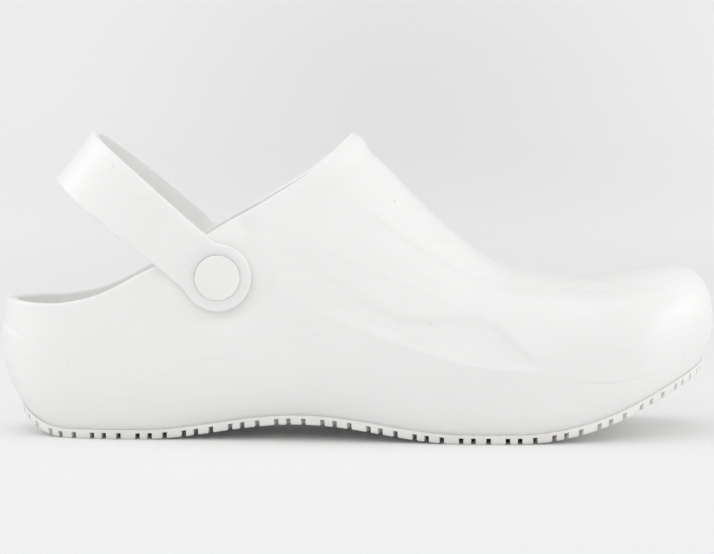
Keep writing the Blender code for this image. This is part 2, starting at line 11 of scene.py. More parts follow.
import bmesh
import bpy
import numpy as np
from bpy.props import FloatProperty, FloatVectorProperty, PointerProperty
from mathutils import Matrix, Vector


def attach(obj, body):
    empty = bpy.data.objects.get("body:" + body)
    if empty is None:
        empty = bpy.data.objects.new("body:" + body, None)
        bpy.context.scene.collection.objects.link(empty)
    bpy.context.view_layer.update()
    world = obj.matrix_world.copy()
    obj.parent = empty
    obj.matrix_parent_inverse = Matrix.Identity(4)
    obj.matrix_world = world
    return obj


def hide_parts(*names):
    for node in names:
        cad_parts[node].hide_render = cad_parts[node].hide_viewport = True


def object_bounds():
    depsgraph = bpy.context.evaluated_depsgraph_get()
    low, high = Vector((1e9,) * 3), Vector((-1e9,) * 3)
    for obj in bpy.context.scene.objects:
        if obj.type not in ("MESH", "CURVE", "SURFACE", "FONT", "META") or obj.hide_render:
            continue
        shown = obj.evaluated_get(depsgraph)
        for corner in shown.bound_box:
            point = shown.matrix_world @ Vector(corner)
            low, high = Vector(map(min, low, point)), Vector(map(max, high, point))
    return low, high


bl_info = {
    "name": "Work clog looks",
    "version": (1, 0, 0),
    "blender": (4, 5, 0),
    "location": "View3D > Sidebar > Clog",
    "description": "Fine surfaces, finishes and studio for a moulded work clog",
    "category": "Object",
}

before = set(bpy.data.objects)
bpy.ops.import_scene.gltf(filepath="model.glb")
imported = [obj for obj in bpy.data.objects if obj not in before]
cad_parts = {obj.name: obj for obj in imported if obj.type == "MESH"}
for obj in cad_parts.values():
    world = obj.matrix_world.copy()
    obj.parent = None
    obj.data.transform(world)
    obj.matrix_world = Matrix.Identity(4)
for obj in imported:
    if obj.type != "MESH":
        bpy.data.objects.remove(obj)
CAD_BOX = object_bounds()

MM = 0.001
GAP = 0.35                 # clearance between pieces that meet
LATERAL = -1
MEDIAL = 1
SIDES = (LATERAL, MEDIAL)
LABELS = {LATERAL: "lateral", MEDIAL: "medial"}

# Overall form
LENGTH = (CAD_BOX[1].x - CAD_BOX[0].x) / MM
THROAT_X = 143.6           # the collar's peak over the instep
HEEL_FAN = 36.0            # the heel's sections turn about a point this far from the back
TOE_FAN = 18.0             # the toe's sections turn about a point this far from the tip
FAN_POWER = 4

# Sole
HEEL_FLAT = (29.0, 57.0)   # where the heel stands on the floor
BALL_FLAT = (188.0, 207.0)  # where the forefoot stands on the floor
ARCH_RISE = 6.6
HEEL_RADIUS = 26.0
HEEL_ARC = 0.95            # share of that radius the tread runs back along before the arc ends
TOE_RADIUS = 115.0
TOE_ANGLE = math.radians(26.0)
OUTSOLE_THICKNESS = 3.5
NOTCH_DEPTH = 2.5
CHANNEL_DEPTH = 2.1
TREAD_DEPTH = 1.7
OUTSOLE_PROUD = 0.3
OUTSOLE_DRAFT = 0.6
NOTCH_WIDTH = 1.9
EDGE_LUGS = (4.9, 6.1, 7.8)  # pitches of the short, medium and long edge lugs
NOTCH_START_X = 113.3      # on the outer edge, where a short lug begins
EDGE_LUG_LENGTH = 9.0
CHANNEL_WIDTH = 2.2
TREAD_PITCH = 12.6
TREAD_FIELD = (24.0, 262.0)
CHEVRON = 7.0              # how far a tread groove's middle lies ahead of its ends
CHEVRON_WIDTH = 40.0       # the tread's width from which the chevrons have that full lead
LUG_BEVEL = 0.3            # softened lug edges
SHEER = 0.03               # a cut wall's lean
TREAD_ROOT = 0.3           # how far the inner tread reaches up into the sole

# Upper
WALL = 3.8
TUCK_POWER = 2.2           # how late the wall turns in above the outsole
FLOOR_FILLET = 7.0         # between the cavity's wall and floor
FILLET_POWER = 3.0
RIM_CROWN = 1.2            # the rounded collar edge
THROAT_BLEND = 8.0         # length over which the collar's skin comes up to the peak
RIM_POWER = 2.4            # how square that edge is
INSOLE_THICKNESS = 4.0
INSOLE_CLEARANCE = 1.0
INSOLE_CUP = 1.1           # how far the insole's border turns up
INSOLE_ROUND = 0.9

# Strap and rivets
RIVET_X = 90.3
RIVET_Z = 65.5
PAD_RISE = 0.8             # the wall's flat pad under the strap's eye
PAD_FLAT = 15.5
PAD_BLEND = 25.0
STRAP_ANGLE = math.radians(40.0)
STRAP_REACH = 72.9         # rivet axis to the inner face of the strap's bend
STRAP_POWER = 2.8          # how square the strap's bend is
STRAP_LEAN = 0.05          # how far the bend leans out, for each mm up its width
STRAP_THICKNESS = 3.4
STRAP_DISH = 0.4           # hollow of the band's outer face
STRAP_ROUND = 0.9          # radius of the band's edges
EYE_THICKNESS = 4.8
EYE_RADIUS = 13.4
EYE_BLEND = (8.0, 30.0)    # where the eye's thickness runs out into the band
EYE_END = 16.0             # from the rivet's axis to the line where eye and band are joined
EDGE_SOFTENING = 14
BUTTON_RADIUS = 8.75
BUTTON_THICKNESS = 2.0
BUTTON_CROWN = 0.3
BUTTON_ROUND = 0.4
SHANK_RADIUS = 4.0
WASHER_RADIUS = 8.0
WASHER_THICKNESS = 1.8
WASHER_ROUND = 0.6
SEAT_BEVEL = 0.2           # softened edge of the button's seat
HAIRLINE = 0.05            # the gap that shows where pieces touch or are bonded

# How finely the forms are divided
REAR_STEPS = 130
FRONT_STEPS = 190
INNER_FRONT_STEPS = 60
OUTER_ROWS = (26, 80)      # below and above the widest level
INNER_ROWS = (10, 40)
RIM_STEPS = 10
EDGE_STEPS = 220           # along each side of the sole's edge
FINE_STEPS = 4000          # for measuring along a curve
EDGE_LUG_STEPS = 3         # along an edge lug, between its bevels
TREAD_LUG_STEPS = 4
TREAD_STEPS = 20
EYE_STEPS = (10, 16)       # along the eye's sides and round its tip
BAND_STEPS = 120
BAND_COLUMNS = 16
ROUND_STEPS = 5
DOME_STEPS = 11            # from the button's middle to its rounded edge
FACE_RINGS = 5
TURN_STEPS = 96
INSOLE_COLUMNS = 24
COLLAR_PASSES = 6          # rounds of finding where a leaning section meets the collar
ROW_BLEND = (98.0, 128.0)  # where rows that fill a section give way to rows cut by the collar
THROAT_RIBS = 8            # sections behind the throat that take the normals ahead of it
THROAT_SEARCH = 25.0
TINY = 0.000001
FAR = 99.0                 # a distance that no drawn line reaches
WELD = 0.002 * MM
SHARP_ANGLE = math.radians(50.0)

Outline = namedtuple("Outline", "x half_width centre")
OUTLINE = [
    Outline(0, 0.0, 0.0),
    Outline(10, 24.5, 0.0),
    Outline(35, 36.2, -0.5),
    Outline(70, 38.4, -1.5),
    Outline(110, 41.0, -2.5),
    Outline(150, 46.5, -2.5),
    Outline(190, 53.0, -0.8),
    Outline(215, 54.5, 1.2),
    Outline(240, 51.6, 3.4),
    Outline(262, 44.0, 5.4),
    Outline(280, 27.8, 6.6),
    Outline(290, 0.0, 7.0),
]

# The wall is widest at bulge_height and turns in by tuck at the outsole. Roundness is the
# power of the section's curve: 2 is an ellipse, and more is squarer.
Section = namedtuple("Section", "x bulge_height tuck roundness")
SECTIONS = [
    Section(0, 38.0, 7.5, 1.65),
    Section(35, 31.0, 5.0, 1.65),
    Section(75, 30.0, 5.0, 1.68),
    Section(115, 31.0, 6.0, 1.75),
    Section(150, 29.0, 5.5, 1.85),
    Section(190, 25.0, 4.5, 2.05),
    Section(220, 25.0, 4.0, 2.4),
    Section(250, 31.0, 4.0, 2.7),
    Section(275, 41.0, 4.2, 2.5),
    Section(290, 46.0, 4.5, 2.3),
]

# The last's top line. Behind the throat it closes the form above the collar.
Line = namedtuple("Line", "x height")
TOP_LINE = [
    Line(0, 140.0),
    Line(40, 152.0),
    Line(75, 159.5),
    Line(100, 155.0),
    Line(125, 137.0),
    Line(143.6, 121.0),
    Line(162.4, 101.8),
    Line(178.8, 85.6),
    Line(190, 76.0),
    Line(203, 68.0),
    Line(219.6, 64.4),
    Line(236, 62.7),
    Line(254, 65.3),
    Line(272, 67.3),
    Line(290, 66.4),
]

COLLAR = [
    Line(0, 55.1),
    Line(7, 54.5),
    Line(14, 54.2),
    Line(26, 54.4),
    Line(34, 55.7),
    Line(42, 58.0),
    Line(50, 61.7),
    Line(58, 66.0),
    Line(65, 69.6),
    Line(86, 82.4),
    Line(97, 88.9),
    Line(106, 93.8),
    Line(114, 98.6),
    Line(122, 103.5),
    Line(130, 109.6),
    Line(137, 115.6),
    Line(143.6, 121.0),
]

CAVITY_FLOOR = [
    Line(8, 21.0),
    Line(40, 20.0),
    Line(80, 18.8),
    Line(120, 16.5),
    Line(160, 13.0),
    Line(195, 11.4),
    Line(225, 13.2),
    Line(250, 18.6),
    Line(270, 27.2),
    Line(285, 34.5),
]

# The strap's edges above and below the line along its limb, by the distance x from the rivet
Band = namedtuple("Band", "x upper lower")
BAND = [
    Band(0, 9.9, 11.7),
    Band(25, 10.2, 12.3),
    Band(50, 10.6, 13.8),
    Band(72.9, 10.4, 14.4),
]

# The raised panel over instep and toe: its edge as a share of the section's half width, and
# how far the wall drops below that edge. The line column is how clearly the edge is drawn.
Panel = namedtuple("Panel", "x share drop line")
PANEL = [
    Panel(134, 0.66, 0.0, 0.0),
    Panel(142, 0.655, 0.15, 0.0),
    Panel(150, 0.65, 0.4, 0.1),
    Panel(166, 0.64, 0.65, 0.25),
    Panel(182, 0.617, 0.8, 0.4),
    Panel(190, 0.581, 0.9, 0.55),
    Panel(203, 0.50, 0.9, 0.9),
    Panel(218, 0.477, 0.9, 1.0),
    Panel(231, 0.465, 0.9, 1.0),
    Panel(243, 0.556, 0.85, 1.0),
    Panel(259, 0.688, 0.7, 0.9),
    Panel(267, 0.76, 0.35, 0.4),
    Panel(273, 0.82, 0.0, 0.0),
]

# The long hollow on each side: heights of its upper edge, of the lower edge of the lobe
# that swells inside it, and of the ridge under it, with the hollow's depth, the lobe's swell
# and the ridge's crest in mm. The line column is how clearly the ridge is drawn.
Flute = namedtuple("Flute", "x edge lobe ridge depth swell crest line")
FLUTE = [
    Flute(108, 88.0, 79.0, 63.5, 0.0, 0.0, 0.0, 0.0),
    Flute(116, 85.3, 75.4, 59.6, 0.2, 0.1, 0.1, 0.0),
    Flute(130, 81.6, 68.4, 53.1, 0.5, 0.3, 0.2, 0.1),
    Flute(146, 74.9, 57.8, 46.3, 0.75, 0.5, 0.35, 0.4),
    Flute(162, 67.9, 49.6, 40.6, 0.95, 0.8, 0.45, 0.8),
    Flute(178, 60.8, 48.4, 35.2, 1.15, 1.0, 0.5, 1.0),
    Flute(194, 53.5, 49.3, 31.3, 1.45, 0.6, 0.5, 1.0),
    Flute(202, 49.2, 46.6, 30.4, 1.6, 0.2, 0.5, 1.0),
    Flute(210, 41.6, 40.5, 29.9, 1.5, 0.0, 0.4, 0.8),
    Flute(217, 34.4, 34.0, 29.5, 0.8, 0.0, 0.25, 0.5),
    Flute(222, 29.6, 29.5, 29.2, 0.0, 0.0, 0.0, 0.0),
]
FLUTE_ROUND = (6.5, 4.2)   # the upper edge's rounding at the back and at the front
FLUTE_ROUND_X = (130.0, 205.0)
LOBE_ROUND = 3.0
CREST_WIDTH = (1.3, 5.0)   # the ridge's sharp crest and its foot
CREST_FOOT = 0.3           # share of the crest's height in that foot

# The mould's parting line round the toe, and how clearly it is drawn
Parting = namedtuple("Parting", "x height line")
MOULD_LINE = [
    Parting(218, 29.2, 0.0),
    Parting(222, 26.9, 0.1),
    Parting(229, 25.4, 0.2),
    Parting(238, 24.5, 0.8),
    Parting(247, 24.2, 1.0),
    Parting(257.6, 25.9, 0.45),
    Parting(264, 27.6, 0.35),
    Parting(271, 30.6, 0.0),
]

# The lines that are drawn on the foam: width in mm, shares of painted shade darkening their
# creases and of the crest's pale painted highlight laid over the foam there, and how far the bump rises
DrawnLine = namedtuple("DrawnLine", "width dirt pale rise")
DRAWN_LINES = {
    # panel and mould lines: painted shade, a darker colour laid in their creases
    "panel_line": DrawnLine(0.8, 0.1, 0.0, -0.35),
    # ridge line: a painted highlight, a paler colour along the crest where light catches it
    "ridge_line": DrawnLine(1.0, 0.0, 0.6, 0.2),
    "mould_line": DrawnLine(0.8, 0.16, 0.0, -0.3),
}
CLEAR = "_clear"           # ends the name of the value that says how clear a line is

# The heel's ledge: the wall above it lies back
HEEL_LEDGE = [
    Line(0, 43.9),
    Line(4.8, 42.1),
    Line(9.1, 40.3),
    Line(13.8, 39.1),
    Line(26, 37.2),
]
LEDGE_STEP = (-1.2, 1.0)   # from below to above the ledge, where the wall goes back
LEDGE_FADE = (3.0, 15.0)
HEEL_THICK = 1.8           # added to the wall under the heel's rim
HEEL_THICK_X = (5.0, 24.0)
HEEL_THICK_Z = (30.0, 46.0)

# Soft waves low on the heel's side: from one point to the other, raised or sunk by rise
Wave = namedtuple("Wave", "start_x start_height end_x end_height rise width")
WAVES = [
    Wave(30, 32.6, 51, 27.6, -0.22, 1.7),
    Wave(50, 22.6, 73, 29.6, 0.22, 1.7),
    Wave(77, 39.3, 96, 40.1, -0.2, 1.5),
    Wave(77, 31.3, 101, 32.8, -0.2, 1.6),
    Wave(98, 38.6, 109, 37.2, -0.15, 1.5),
    Wave(108, 30.6, 122, 29.4, -0.12, 1.6),
]

# The lip at the peak: its place, width and share of the lip's rise, and the dip ahead of it
LIP_PLACE = (3.8, 10.8)
LIP_WIDTH = (3.2, 2.0)
LIP_DIP = 0.55
LIP_FADE = (116.0, 138.0)
THROAT_SLOPE = 0.85
COLLAR_ROLL_WIDTH = 2.6
PANEL_ROUND = 1.5
PANEL_RECOVER = (2.0, 13.0)
FOOT_FADE = 4.0

# Marks in the moulding, on the outer side
Mark = namedtuple("Mark", "x height radius")
MARKS = [
    Mark(160.2, 94.9, 0.5),
    Mark(151.0, 71.5, 0.35),
    Mark(174.4, 47.8, 0.4),
    Mark(54.6, 47.1, 0.35),
    Mark(275.9, 34.0, 0.4),
    Mark(285.2, 44.5, 0.35),
    Mark(30.3, 31.6, 0.35),
    Mark(79.6, 57.9, 0.3),
]
STRAP_MARKS = [
    Mark(53.8, 112.2, 0.5),
    Mark(48.6, 109.1, 0.5),
    Mark(43.5, 105.5, 0.35),
]
MARK_CORE = 0.4            # share of a mark's radius that is fully dark
MARK_DIRT = 0.25           # shares of the speck colour laid over the foam in a mark
STRAP_MARK_DIRT = 0.3
MARK_RISE = -0.4           # how far the bump sinks in a mark

# Skins of the materials: pebbles and clouds for each metre, the bump's strength and its
# depth in mm, and how much rougher the dull clouds are and smoother the pale ones
Skin = namedtuple("Skin", "pebbles clouds strength depth rougher smoother")
UPPER_SKIN = Skin(1500.0, 38.0, 0.6, 0.4, 0.05, 0.04)
STRAP_SKIN = Skin(1500.0, 38.0, 0.35, 0.08, 0.05, 0.04)
RUBBER_SKIN = Skin(2600.0, 60.0, 0.5, 0.15, 0.1, 0.05)
FOOTBED_SKIN = Skin(900.0, 30.0, 0.4, 0.3, 0.07, 0.05)
RIVET_SKIN = Skin(2200.0, 120.0, 0.25, 0.05, 0.06, 0.05)
BROAD_GRAIN = 0.12         # waves of the slow unevenness for each pebble
GRAIN_MIX = (0.4, 0.6)     # shares of the pebbles and of that unevenness in the height
CLOUD_FADE = (0.35, 0.68)
UPPER_GRAIN = 0.1          # share of the grain's height beside the upper's drawn lines
FOOTBED_ROUGHNESS = 0.65
FOOTBED_PITS = 420.0       # for each metre
FOAM_COAT = 0.06
FOAM_GLOW = 0.45           # share of light that passes some way through the foam
GLOW_DEPTH = 5.0           # how far it passes, in mm
GLOW_TINT = (1.0, 0.97, 0.92)  # share of that depth for red, green and blue
RIVET_COAT = 0.1

# Dirt: floor grime up to a height in metres, and the share of each laid over the colour
FOAM_GRIME_HEIGHT = 0.012
FOAM_GRIME = 0.08
RUBBER_GRIME_HEIGHT = 0.006
RUBBER_GRIME = 0.12
GRIME_PATCHES = 90.0       # for each metre
SPECK_EDGE = 0.03          # over which a speck fades out, as a share of its cell
SPECK_DIRT = 0.5
SMUDGES = 55.0             # for each metre
SMUDGE_STRETCH = (1.0, 1.0, 5.0)
SMUDGE_FADE = (0.54, 0.76)
SMUDGE_DIRT = 0.035


def spline(table, column, power=1):
    """Natural cubic spline through one column of a table, of that column's power."""
    knots = np.array([row.x for row in table], dtype=float)
    values = np.array([getattr(row, column) for row in table], dtype=float) ** power
    count = len(knots)
    step = np.diff(knots)
    slope = np.diff(values) / step
    system = np.eye(count)
    bend = np.zeros(count)
    for i in range(1, count - 1):
        system[i, i - 1:i + 2] = (step[i - 1], 2 * (step[i - 1] + step[i]), step[i])
        bend[i] = 6 * (slope[i] - slope[i - 1])
    second = np.linalg.solve(system, bend)

    def evaluate(x):
        x = np.clip(x, knots[0], knots[-1])
        i = np.clip(np.searchsorted(knots, x) - 1, 0, count - 2)
        left = (x - knots[i]) / step[i]
        right = 1 - left
        curve = (left ** 3 - left) * second[i + 1] + (right ** 3 - right) * second[i]
        return left * values[i + 1] + right * values[i] + curve * step[i] ** 2 / 6

    return evaluate


half_width_squared = spline(OUTLINE, "half_width", power=2)
centre = spline(OUTLINE, "centre")
bulge_height = spline(SECTIONS, "bulge_height")
tuck = spline(SECTIONS, "tuck")
roundness = spline(SECTIONS, "roundness")
top_height = spline(TOP_LINE, "height")
collar_height = spline(COLLAR, "height")
floor_height = spline(CAVITY_FLOOR, "height")
band_upper = spline(BAND, "upper")
band_lower = spline(BAND, "lower")
panel_share = spline(PANEL, "share")
panel_drop = spline(PANEL, "drop")
flute_edge = spline(FLUTE, "edge")
flute_lobe = spline(FLUTE, "lobe")
flute_ridge = spline(FLUTE, "ridge")
flute_depth = spline(FLUTE, "depth")
flute_swell = spline(FLUTE, "swell")
flute_crest = spline(FLUTE, "crest")
mould_line = spline(MOULD_LINE, "height")
heel_ledge = spline(HEEL_LEDGE, "height")
line_strength = {
    "panel_line": spline(PANEL, "line"),
    "ridge_line": spline(FLUTE, "line"),
    "mould_line": spline(MOULD_LINE, "line"),
}


def smooth_step(low, high, value):
    """Rise from 0 at low to 1 at high with level ends."""
    t = np.clip((value - low) / (high - low), 0, 1)
    return t * t * (3 - 2 * t)


def bell(value, width):
    """A round hump: 1 at zero, falling off over the width."""
    return np.exp(-(value / width) ** 2)


def half_width(x):
    """Half the width of the outline: its square is smooth, so both ends close round."""
    return np.sqrt(np.maximum(half_width_squared(x), 0))


def ground(x):
    """Height of the tread: heel arc, flat, arch, flat, then the toe spring's arc and slope."""
    x = np.asarray(x, dtype=float)
    behind = np.clip(HEEL_FLAT[0] - x, 0, HEEL_RADIUS * HEEL_ARC)
    heel = HEEL_RADIUS - np.sqrt(HEEL_RADIUS ** 2 - behind ** 2)
    along = np.clip((x - HEEL_FLAT[1]) / (BALL_FLAT[0] - HEEL_FLAT[1]), 0, 1)
    arch = ARCH_RISE * (1 - np.cos(2 * math.pi * along)) / 2
    ahead = np.maximum(x - BALL_FLAT[1], 0)
    on_arc = np.minimum(ahead, TOE_RADIUS * math.sin(TOE_ANGLE))
    toe = TOE_RADIUS - np.sqrt(TOE_RADIUS ** 2 - on_arc ** 2)
    slope = (ahead - on_arc) * math.tan(TOE_ANGLE)
    return heel + arch + toe + slope


def spine_x(x):
    """Where the section from outline place x meets the top line: it fans at heel and toe."""
    from_back = (HEEL_FAN ** FAN_POWER + np.asarray(x, dtype=float) ** FAN_POWER) ** (1 / FAN_POWER)
    from_tip = (TOE_FAN ** FAN_POWER + (LENGTH - from_back) ** FAN_POWER) ** (1 / FAN_POWER)
    return LENGTH - from_tip


def stations(throat, rear, front):
    """Outline places from heel to toe, close together at heel, throat and toe."""
    turn = (throat ** FAN_POWER - HEEL_FAN ** FAN_POWER) ** (1 / FAN_POWER)
    behind = turn * (1 - np.cos(np.linspace(0, math.pi, rear + 1))) / 2
    ahead = turn + (LENGTH - turn) * (1 - np.cos(np.linspace(0, math.pi, front + 1))) / 2
    return np.concatenate([behind, ahead[1:]])


def inner_top(x, wall):
    """The top line's height with the wall's thickness taken off square to its slope."""
    slope = (top_height(x + 1) - top_height(x - 1)) / 2
    return top_height(x) - wall * np.sqrt(1 + slope ** 2)


def skin_end(x):
    """Height at which the skin ends under the collar's rounded edge, up to the peak itself."""
    return collar_height(x) - RIM_CROWN * (1 - smooth_step(THROAT_X - THROAT_BLEND, THROAT_X, x))


def inner_throat(wall):
    """Where the collar meets the inner top line."""
    x = np.linspace(THROAT_X - THROAT_SEARCH, THROAT_X, FINE_STEPS)
    headroom = inner_top(x, wall) - skin_end(x)
    return float(np.interp(0, -headroom, x))


class Ribs:
    """The last's sections at the given outline places on one side, with a wall taken off."""

    def __init__(self, x, side, wall=0.0, rear=REAR_STEPS):
        self.side = side
        self.wall = wall
        self.rear = rear
        self.x = x
        self.y = centre(x) + side * half_width(x)
        self.top_x = spine_x(x)
        self.top_y = centre(self.top_x)
        run_x = self.top_x - self.x
        run_y = self.top_y - self.y
        self.reach = np.maximum(np.hypot(run_x, run_y), TINY)
        self.direction = np.stack([run_x / self.reach, run_y / self.reach], axis=-1)
        self.bulge = bulge_height(x)
        self.power = roundness(x)
        self.top = inner_top(self.top_x, wall)

    def place(self, inset, height):
        """Points at a distance in from the outline and a height, a row for each section."""
        plan_x = self.x[:, None] + inset * self.direction[:, :1]
        plan_y = self.y[:, None] + inset * self.direction[:, 1:]
        return np.stack([plan_x, plan_y, height + 0 * inset], axis=-1)

    def lower(self, rows):
        """From the bottom edge up to the widest level."""
        share = np.linspace(1, 0, rows + 1)[None, :]
        if self.wall:
            inset = self.wall + FLOOR_FILLET * share ** FILLET_POWER
            foot = floor_height(self.x + inset[:, 0] * self.direction[:, 0])
        else:
            inset = tuck(self.x)[:, None] * share ** TUCK_POWER
            edge_x = self.x + inset[:, 0] * self.direction[:, 0]
            foot = ground(edge_x) + OUTSOLE_THICKNESS + GAP
        return self.place(inset, self.bulge[:, None] - share * (self.bulge - foot)[:, None])

    def inset_at(self, rise):
        """Distance in from the outline where a section has risen by a share of its height."""
        power = self.power
        return self.wall + (self.reach - self.wall) * (1 - (1 - rise ** power) ** (1 / power))

    def collar_rise(self):
        """Share of each section's height at which the collar or the top line ends it."""
        rise = np.ones_like(self.x)
        at = self.x.copy()
        for _ in range(COLLAR_PASSES):
            rise = (skin_end(at) - self.bulge) / (self.top - self.bulge)
            rise = np.clip(rise, 0, 1)
            at = self.x + self.inset_at(rise) * self.direction[:, 0]
        rise[self.rear:] = 1
        return rise

    def upper(self, rows):
        """From the widest level up to the collar, or to the top line ahead of the throat.

        Returns the points, their closing and each section's last row. The closing is the
        share of the section's half width left, 1 at the widest level and 0 at the top line.
        Near the throat the rows lie at fixed angles and stop where they meet the collar.
        """
        last_angle = np.arcsin(self.collar_rise() ** (self.power / 2))
        span = last_angle + (math.pi / 2 - last_angle) * smooth_step(*ROW_BLEND, self.x)
        angle = span[:, None] * np.linspace(0, 1, rows + 1)
        last_row = np.sum(angle < last_angle[:, None] - TINY, axis=1)
        angle = np.minimum(angle, last_angle[:, None])
        rise = np.clip(np.sin(angle), 0, 1) ** (2 / self.power[:, None])
        closing = np.clip(np.cos(angle), 0, 1) ** (2 / self.power[:, None])
        inset = self.wall + (self.reach - self.wall)[:, None] * (1 - closing)
        height = self.bulge[:, None] + rise * (self.top - self.bulge)[:, None]
        return self.place(inset, height), closing, last_row

    def skin(self, rows):
        """The whole side as a grid of points from the bottom edge upward.

        Returns the points, their closing and each section's last row.
        """
        low = self.lower(rows[0])
        high, closing, last_row = self.upper(rows[1])
        points = np.concatenate([low, high[:, 1:]], axis=1)
        closing = np.concatenate([np.ones(low.shape[:2]), closing[:, 1:]], axis=1)
        return press_pad(points, self.side, self.wall), closing, last_row + rows[0]


def pad_y(side):
    """Y of the flat pad under the strap's eye, on the outside of the wall."""
    rib = Ribs(np.array([RIVET_X]), side)
    inset = rib.inset_at((RIVET_Z - rib.bulge) / (rib.top - rib.bulge))
    return float(rib.y[0] + inset[0] * rib.direction[0, 1] + side * PAD_RISE)


def off_pad(points):
    """0 on the flat pad round the rivet, rising to 1 where the wall's own curve begins."""
    away = np.hypot(points[..., 0] - RIVET_X, points[..., 2] - RIVET_Z)
    return smooth_step(PAD_FLAT, PAD_BLEND, away)


def press_pad(points, side, wall):
    """Flatten the wall round the rivet, so that the strap's eye lies on a plane."""
    plane = pad_y(side) - side * wall
    points[..., 1] += (1 - off_pad(points)) * (plane - points[..., 1])
    return points


def frame_middle():
    """The point on the floor under the middle of the shoe's box."""
    x = np.linspace(0, LENGTH, FINE_STEPS)
    inner_side = np.max(centre(x) + half_width(x))
    outer_side = np.min(centre(x) - half_width(x))
    return np.array([LENGTH / 2, (inner_side + outer_side) / 2, 0.0])


FRAME_MIDDLE = frame_middle()


def to_frame(points):
    """Turn shoe millimetres into metres about the origin under the middle of the shoe."""
    return (np.asarray(points) - FRAME_MIDDLE) * MM


def grid_faces(shape, first):
    """Quads over a grid of points that are numbered row by row from first."""
    index = np.arange(shape[0] * shape[1]).reshape(shape[:2]) + first
    quads = np.stack([index[:-1, :-1], index[1:, :-1], index[1:, 1:], index[:-1, 1:]], axis=-1)
    return quads.reshape(-1, 4)


def join_grids(name, grids, lines=None):
    """A mesh of quads over grids of points in shoe millimetres, welded where they meet.

    lines gives named values for the points of the first grids; the other points get FAR.
    """
    faces = []
    first = 0
    for grid in grids:
        faces.append(grid_faces(grid.shape, first))
        first += grid.shape[0] * grid.shape[1]
    points = np.concatenate([grid.reshape(-1, 3) for grid in grids])
    mesh = bpy.data.meshes.new(name)
    mesh.from_pydata(to_frame(points).tolist(), [], np.concatenate(faces).tolist())
    for line, values in (lines or {}).items():
        known = np.concatenate([value.ravel() for value in values])
        filled = np.full(len(points), FAR)
        filled[:len(known)] = np.clip(known, -FAR, FAR)
        mesh.attributes.new(line, "FLOAT", "POINT").data.foreach_set("value", filled)
    shape = bmesh.new()
    shape.from_mesh(mesh)
    bmesh.ops.remove_doubles(shape, verts=shape.verts, dist=WELD)
    bmesh.ops.dissolve_degenerate(shape, edges=shape.edges, dist=WELD)
    bmesh.ops.recalc_face_normals(shape, faces=shape.faces)
    shape.to_mesh(mesh)
    shape.free()
    return mesh


def add_piece(name, mesh, material, nodes):
    """Place a mesh as a piece that stands for CAD nodes and rides on the shoe's one body."""
    mesh.name = name
    mesh.materials.clear()
    mesh.materials.append(material)
    mesh.shade_smooth()
    mesh.set_sharp_from_angle(angle=SHARP_ANGLE)
    piece = bpy.data.objects.new(name, mesh)
    bpy.context.scene.collection.objects.link(piece)
    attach(piece, "root")
    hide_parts(*nodes)
    return piece


def cut_holes(name, mesh, cutters):
    """The mesh with each cutter's shape taken out of it."""
    piece = bpy.data.objects.new(name, mesh)
    bpy.context.scene.collection.objects.link(piece)
    tools = []
    for cutter in cutters:
        tool = bpy.data.objects.new(cutter.name, cutter)
        bpy.context.scene.collection.objects.link(tool)
        boolean = piece.modifiers.new(cutter.name, "BOOLEAN")
        boolean.operation = "DIFFERENCE"
        boolean.solver = "MANIFOLD"
        boolean.object = tool
        tools.append(tool)
    bpy.context.view_layer.update()
    result = bpy.data.meshes.new_from_object(piece.evaluated_get(bpy.context.evaluated_depsgraph_get()))
    for tool in tools + [piece]:
        bpy.data.objects.remove(tool, do_unlink=True)
    return result


def turned_grid(profile, side, base_y):
    """A profile of radius and height carried round the rivet's axis, height pointing outward."""
    angle = np.linspace(0, 2 * math.pi, TURN_STEPS + 1)[:, None]
    radius, height = np.array(profile, dtype=float).T
    x = RIVET_X + radius * np.cos(angle)
    z = RIVET_Z + radius * np.sin(angle)
    y = base_y + side * height + 0 * x
    return np.stack([x, y, z], axis=-1)


def above(line, x, z):
    """Distance of points above a line drawn on the side, square to the line's slope."""
    slope = (line(x + 1) - line(x - 1)) / 2
    return (z - line(x)) / np.sqrt(1 + slope ** 2)


def over_panel_edge(points, closing):
    """Distance up the skin from the panel's edge, from how fast the section closes there."""
    step = np.linalg.norm(np.diff(points, axis=1), axis=-1)
    climb = np.concatenate([np.zeros((len(points), 1)), np.cumsum(step, axis=1)], axis=1)
    closed = np.minimum(np.gradient(closing, axis=1), -TINY)
    per_share = np.minimum(np.gradient(climb, axis=1) / -closed, FAR)
    return (panel_share(points[..., 0]) - closing) * per_share


def flute_relief(x, z, shape):
    """The side's hollow: sunk under its upper edge, swelling in its lobe, up to the ridge."""
    below_edge = -above(flute_edge, x, z)
    over_ridge = above(flute_ridge, x, z)
    over_lobe = above(flute_lobe, x, z)
    inside = np.clip(over_ridge / np.maximum(over_ridge + below_edge, TINY), 0, 1)
    rounding = FLUTE_ROUND[0] + (FLUTE_ROUND[1] - FLUTE_ROUND[0]) * smooth_step(*FLUTE_ROUND_X, x)
    hollow = -flute_depth(x) * smooth_step(0, 1, below_edge / rounding) * inside
    lobe = smooth_step(0, LOBE_ROUND, below_edge) * smooth_step(-LOBE_ROUND / 2, LOBE_ROUND, over_lobe)
    crest = bell(over_ridge, CREST_WIDTH[0]) + CREST_FOOT * bell(over_ridge, CREST_WIDTH[1])
    hollow = (hollow + flute_swell(x) * lobe) * shape.flute_depth
    return hollow + flute_crest(x) * crest * shape.ridge_height


def collar_line(x):
    """The collar's height, carried on at an even slope ahead of the throat."""
    return collar_height(x) + THROAT_SLOPE * np.maximum(x - THROAT_X, 0)


def collar_relief(x, z, shape):
    """The collar's rolled border, with the thicker lip and the dip ahead of it at the peak."""
    below = -above(collar_line, x, z)
    at_peak = smooth_step(*LIP_FADE, x)
    lip = bell(below - LIP_PLACE[0], LIP_WIDTH[0]) - LIP_DIP * bell(below - LIP_PLACE[1], LIP_WIDTH[1])
    roll = bell(below, COLLAR_ROLL_WIDTH) * (1 - at_peak)
    return (shape.lip_height * lip * at_peak + shape.collar_roll * roll) / MM


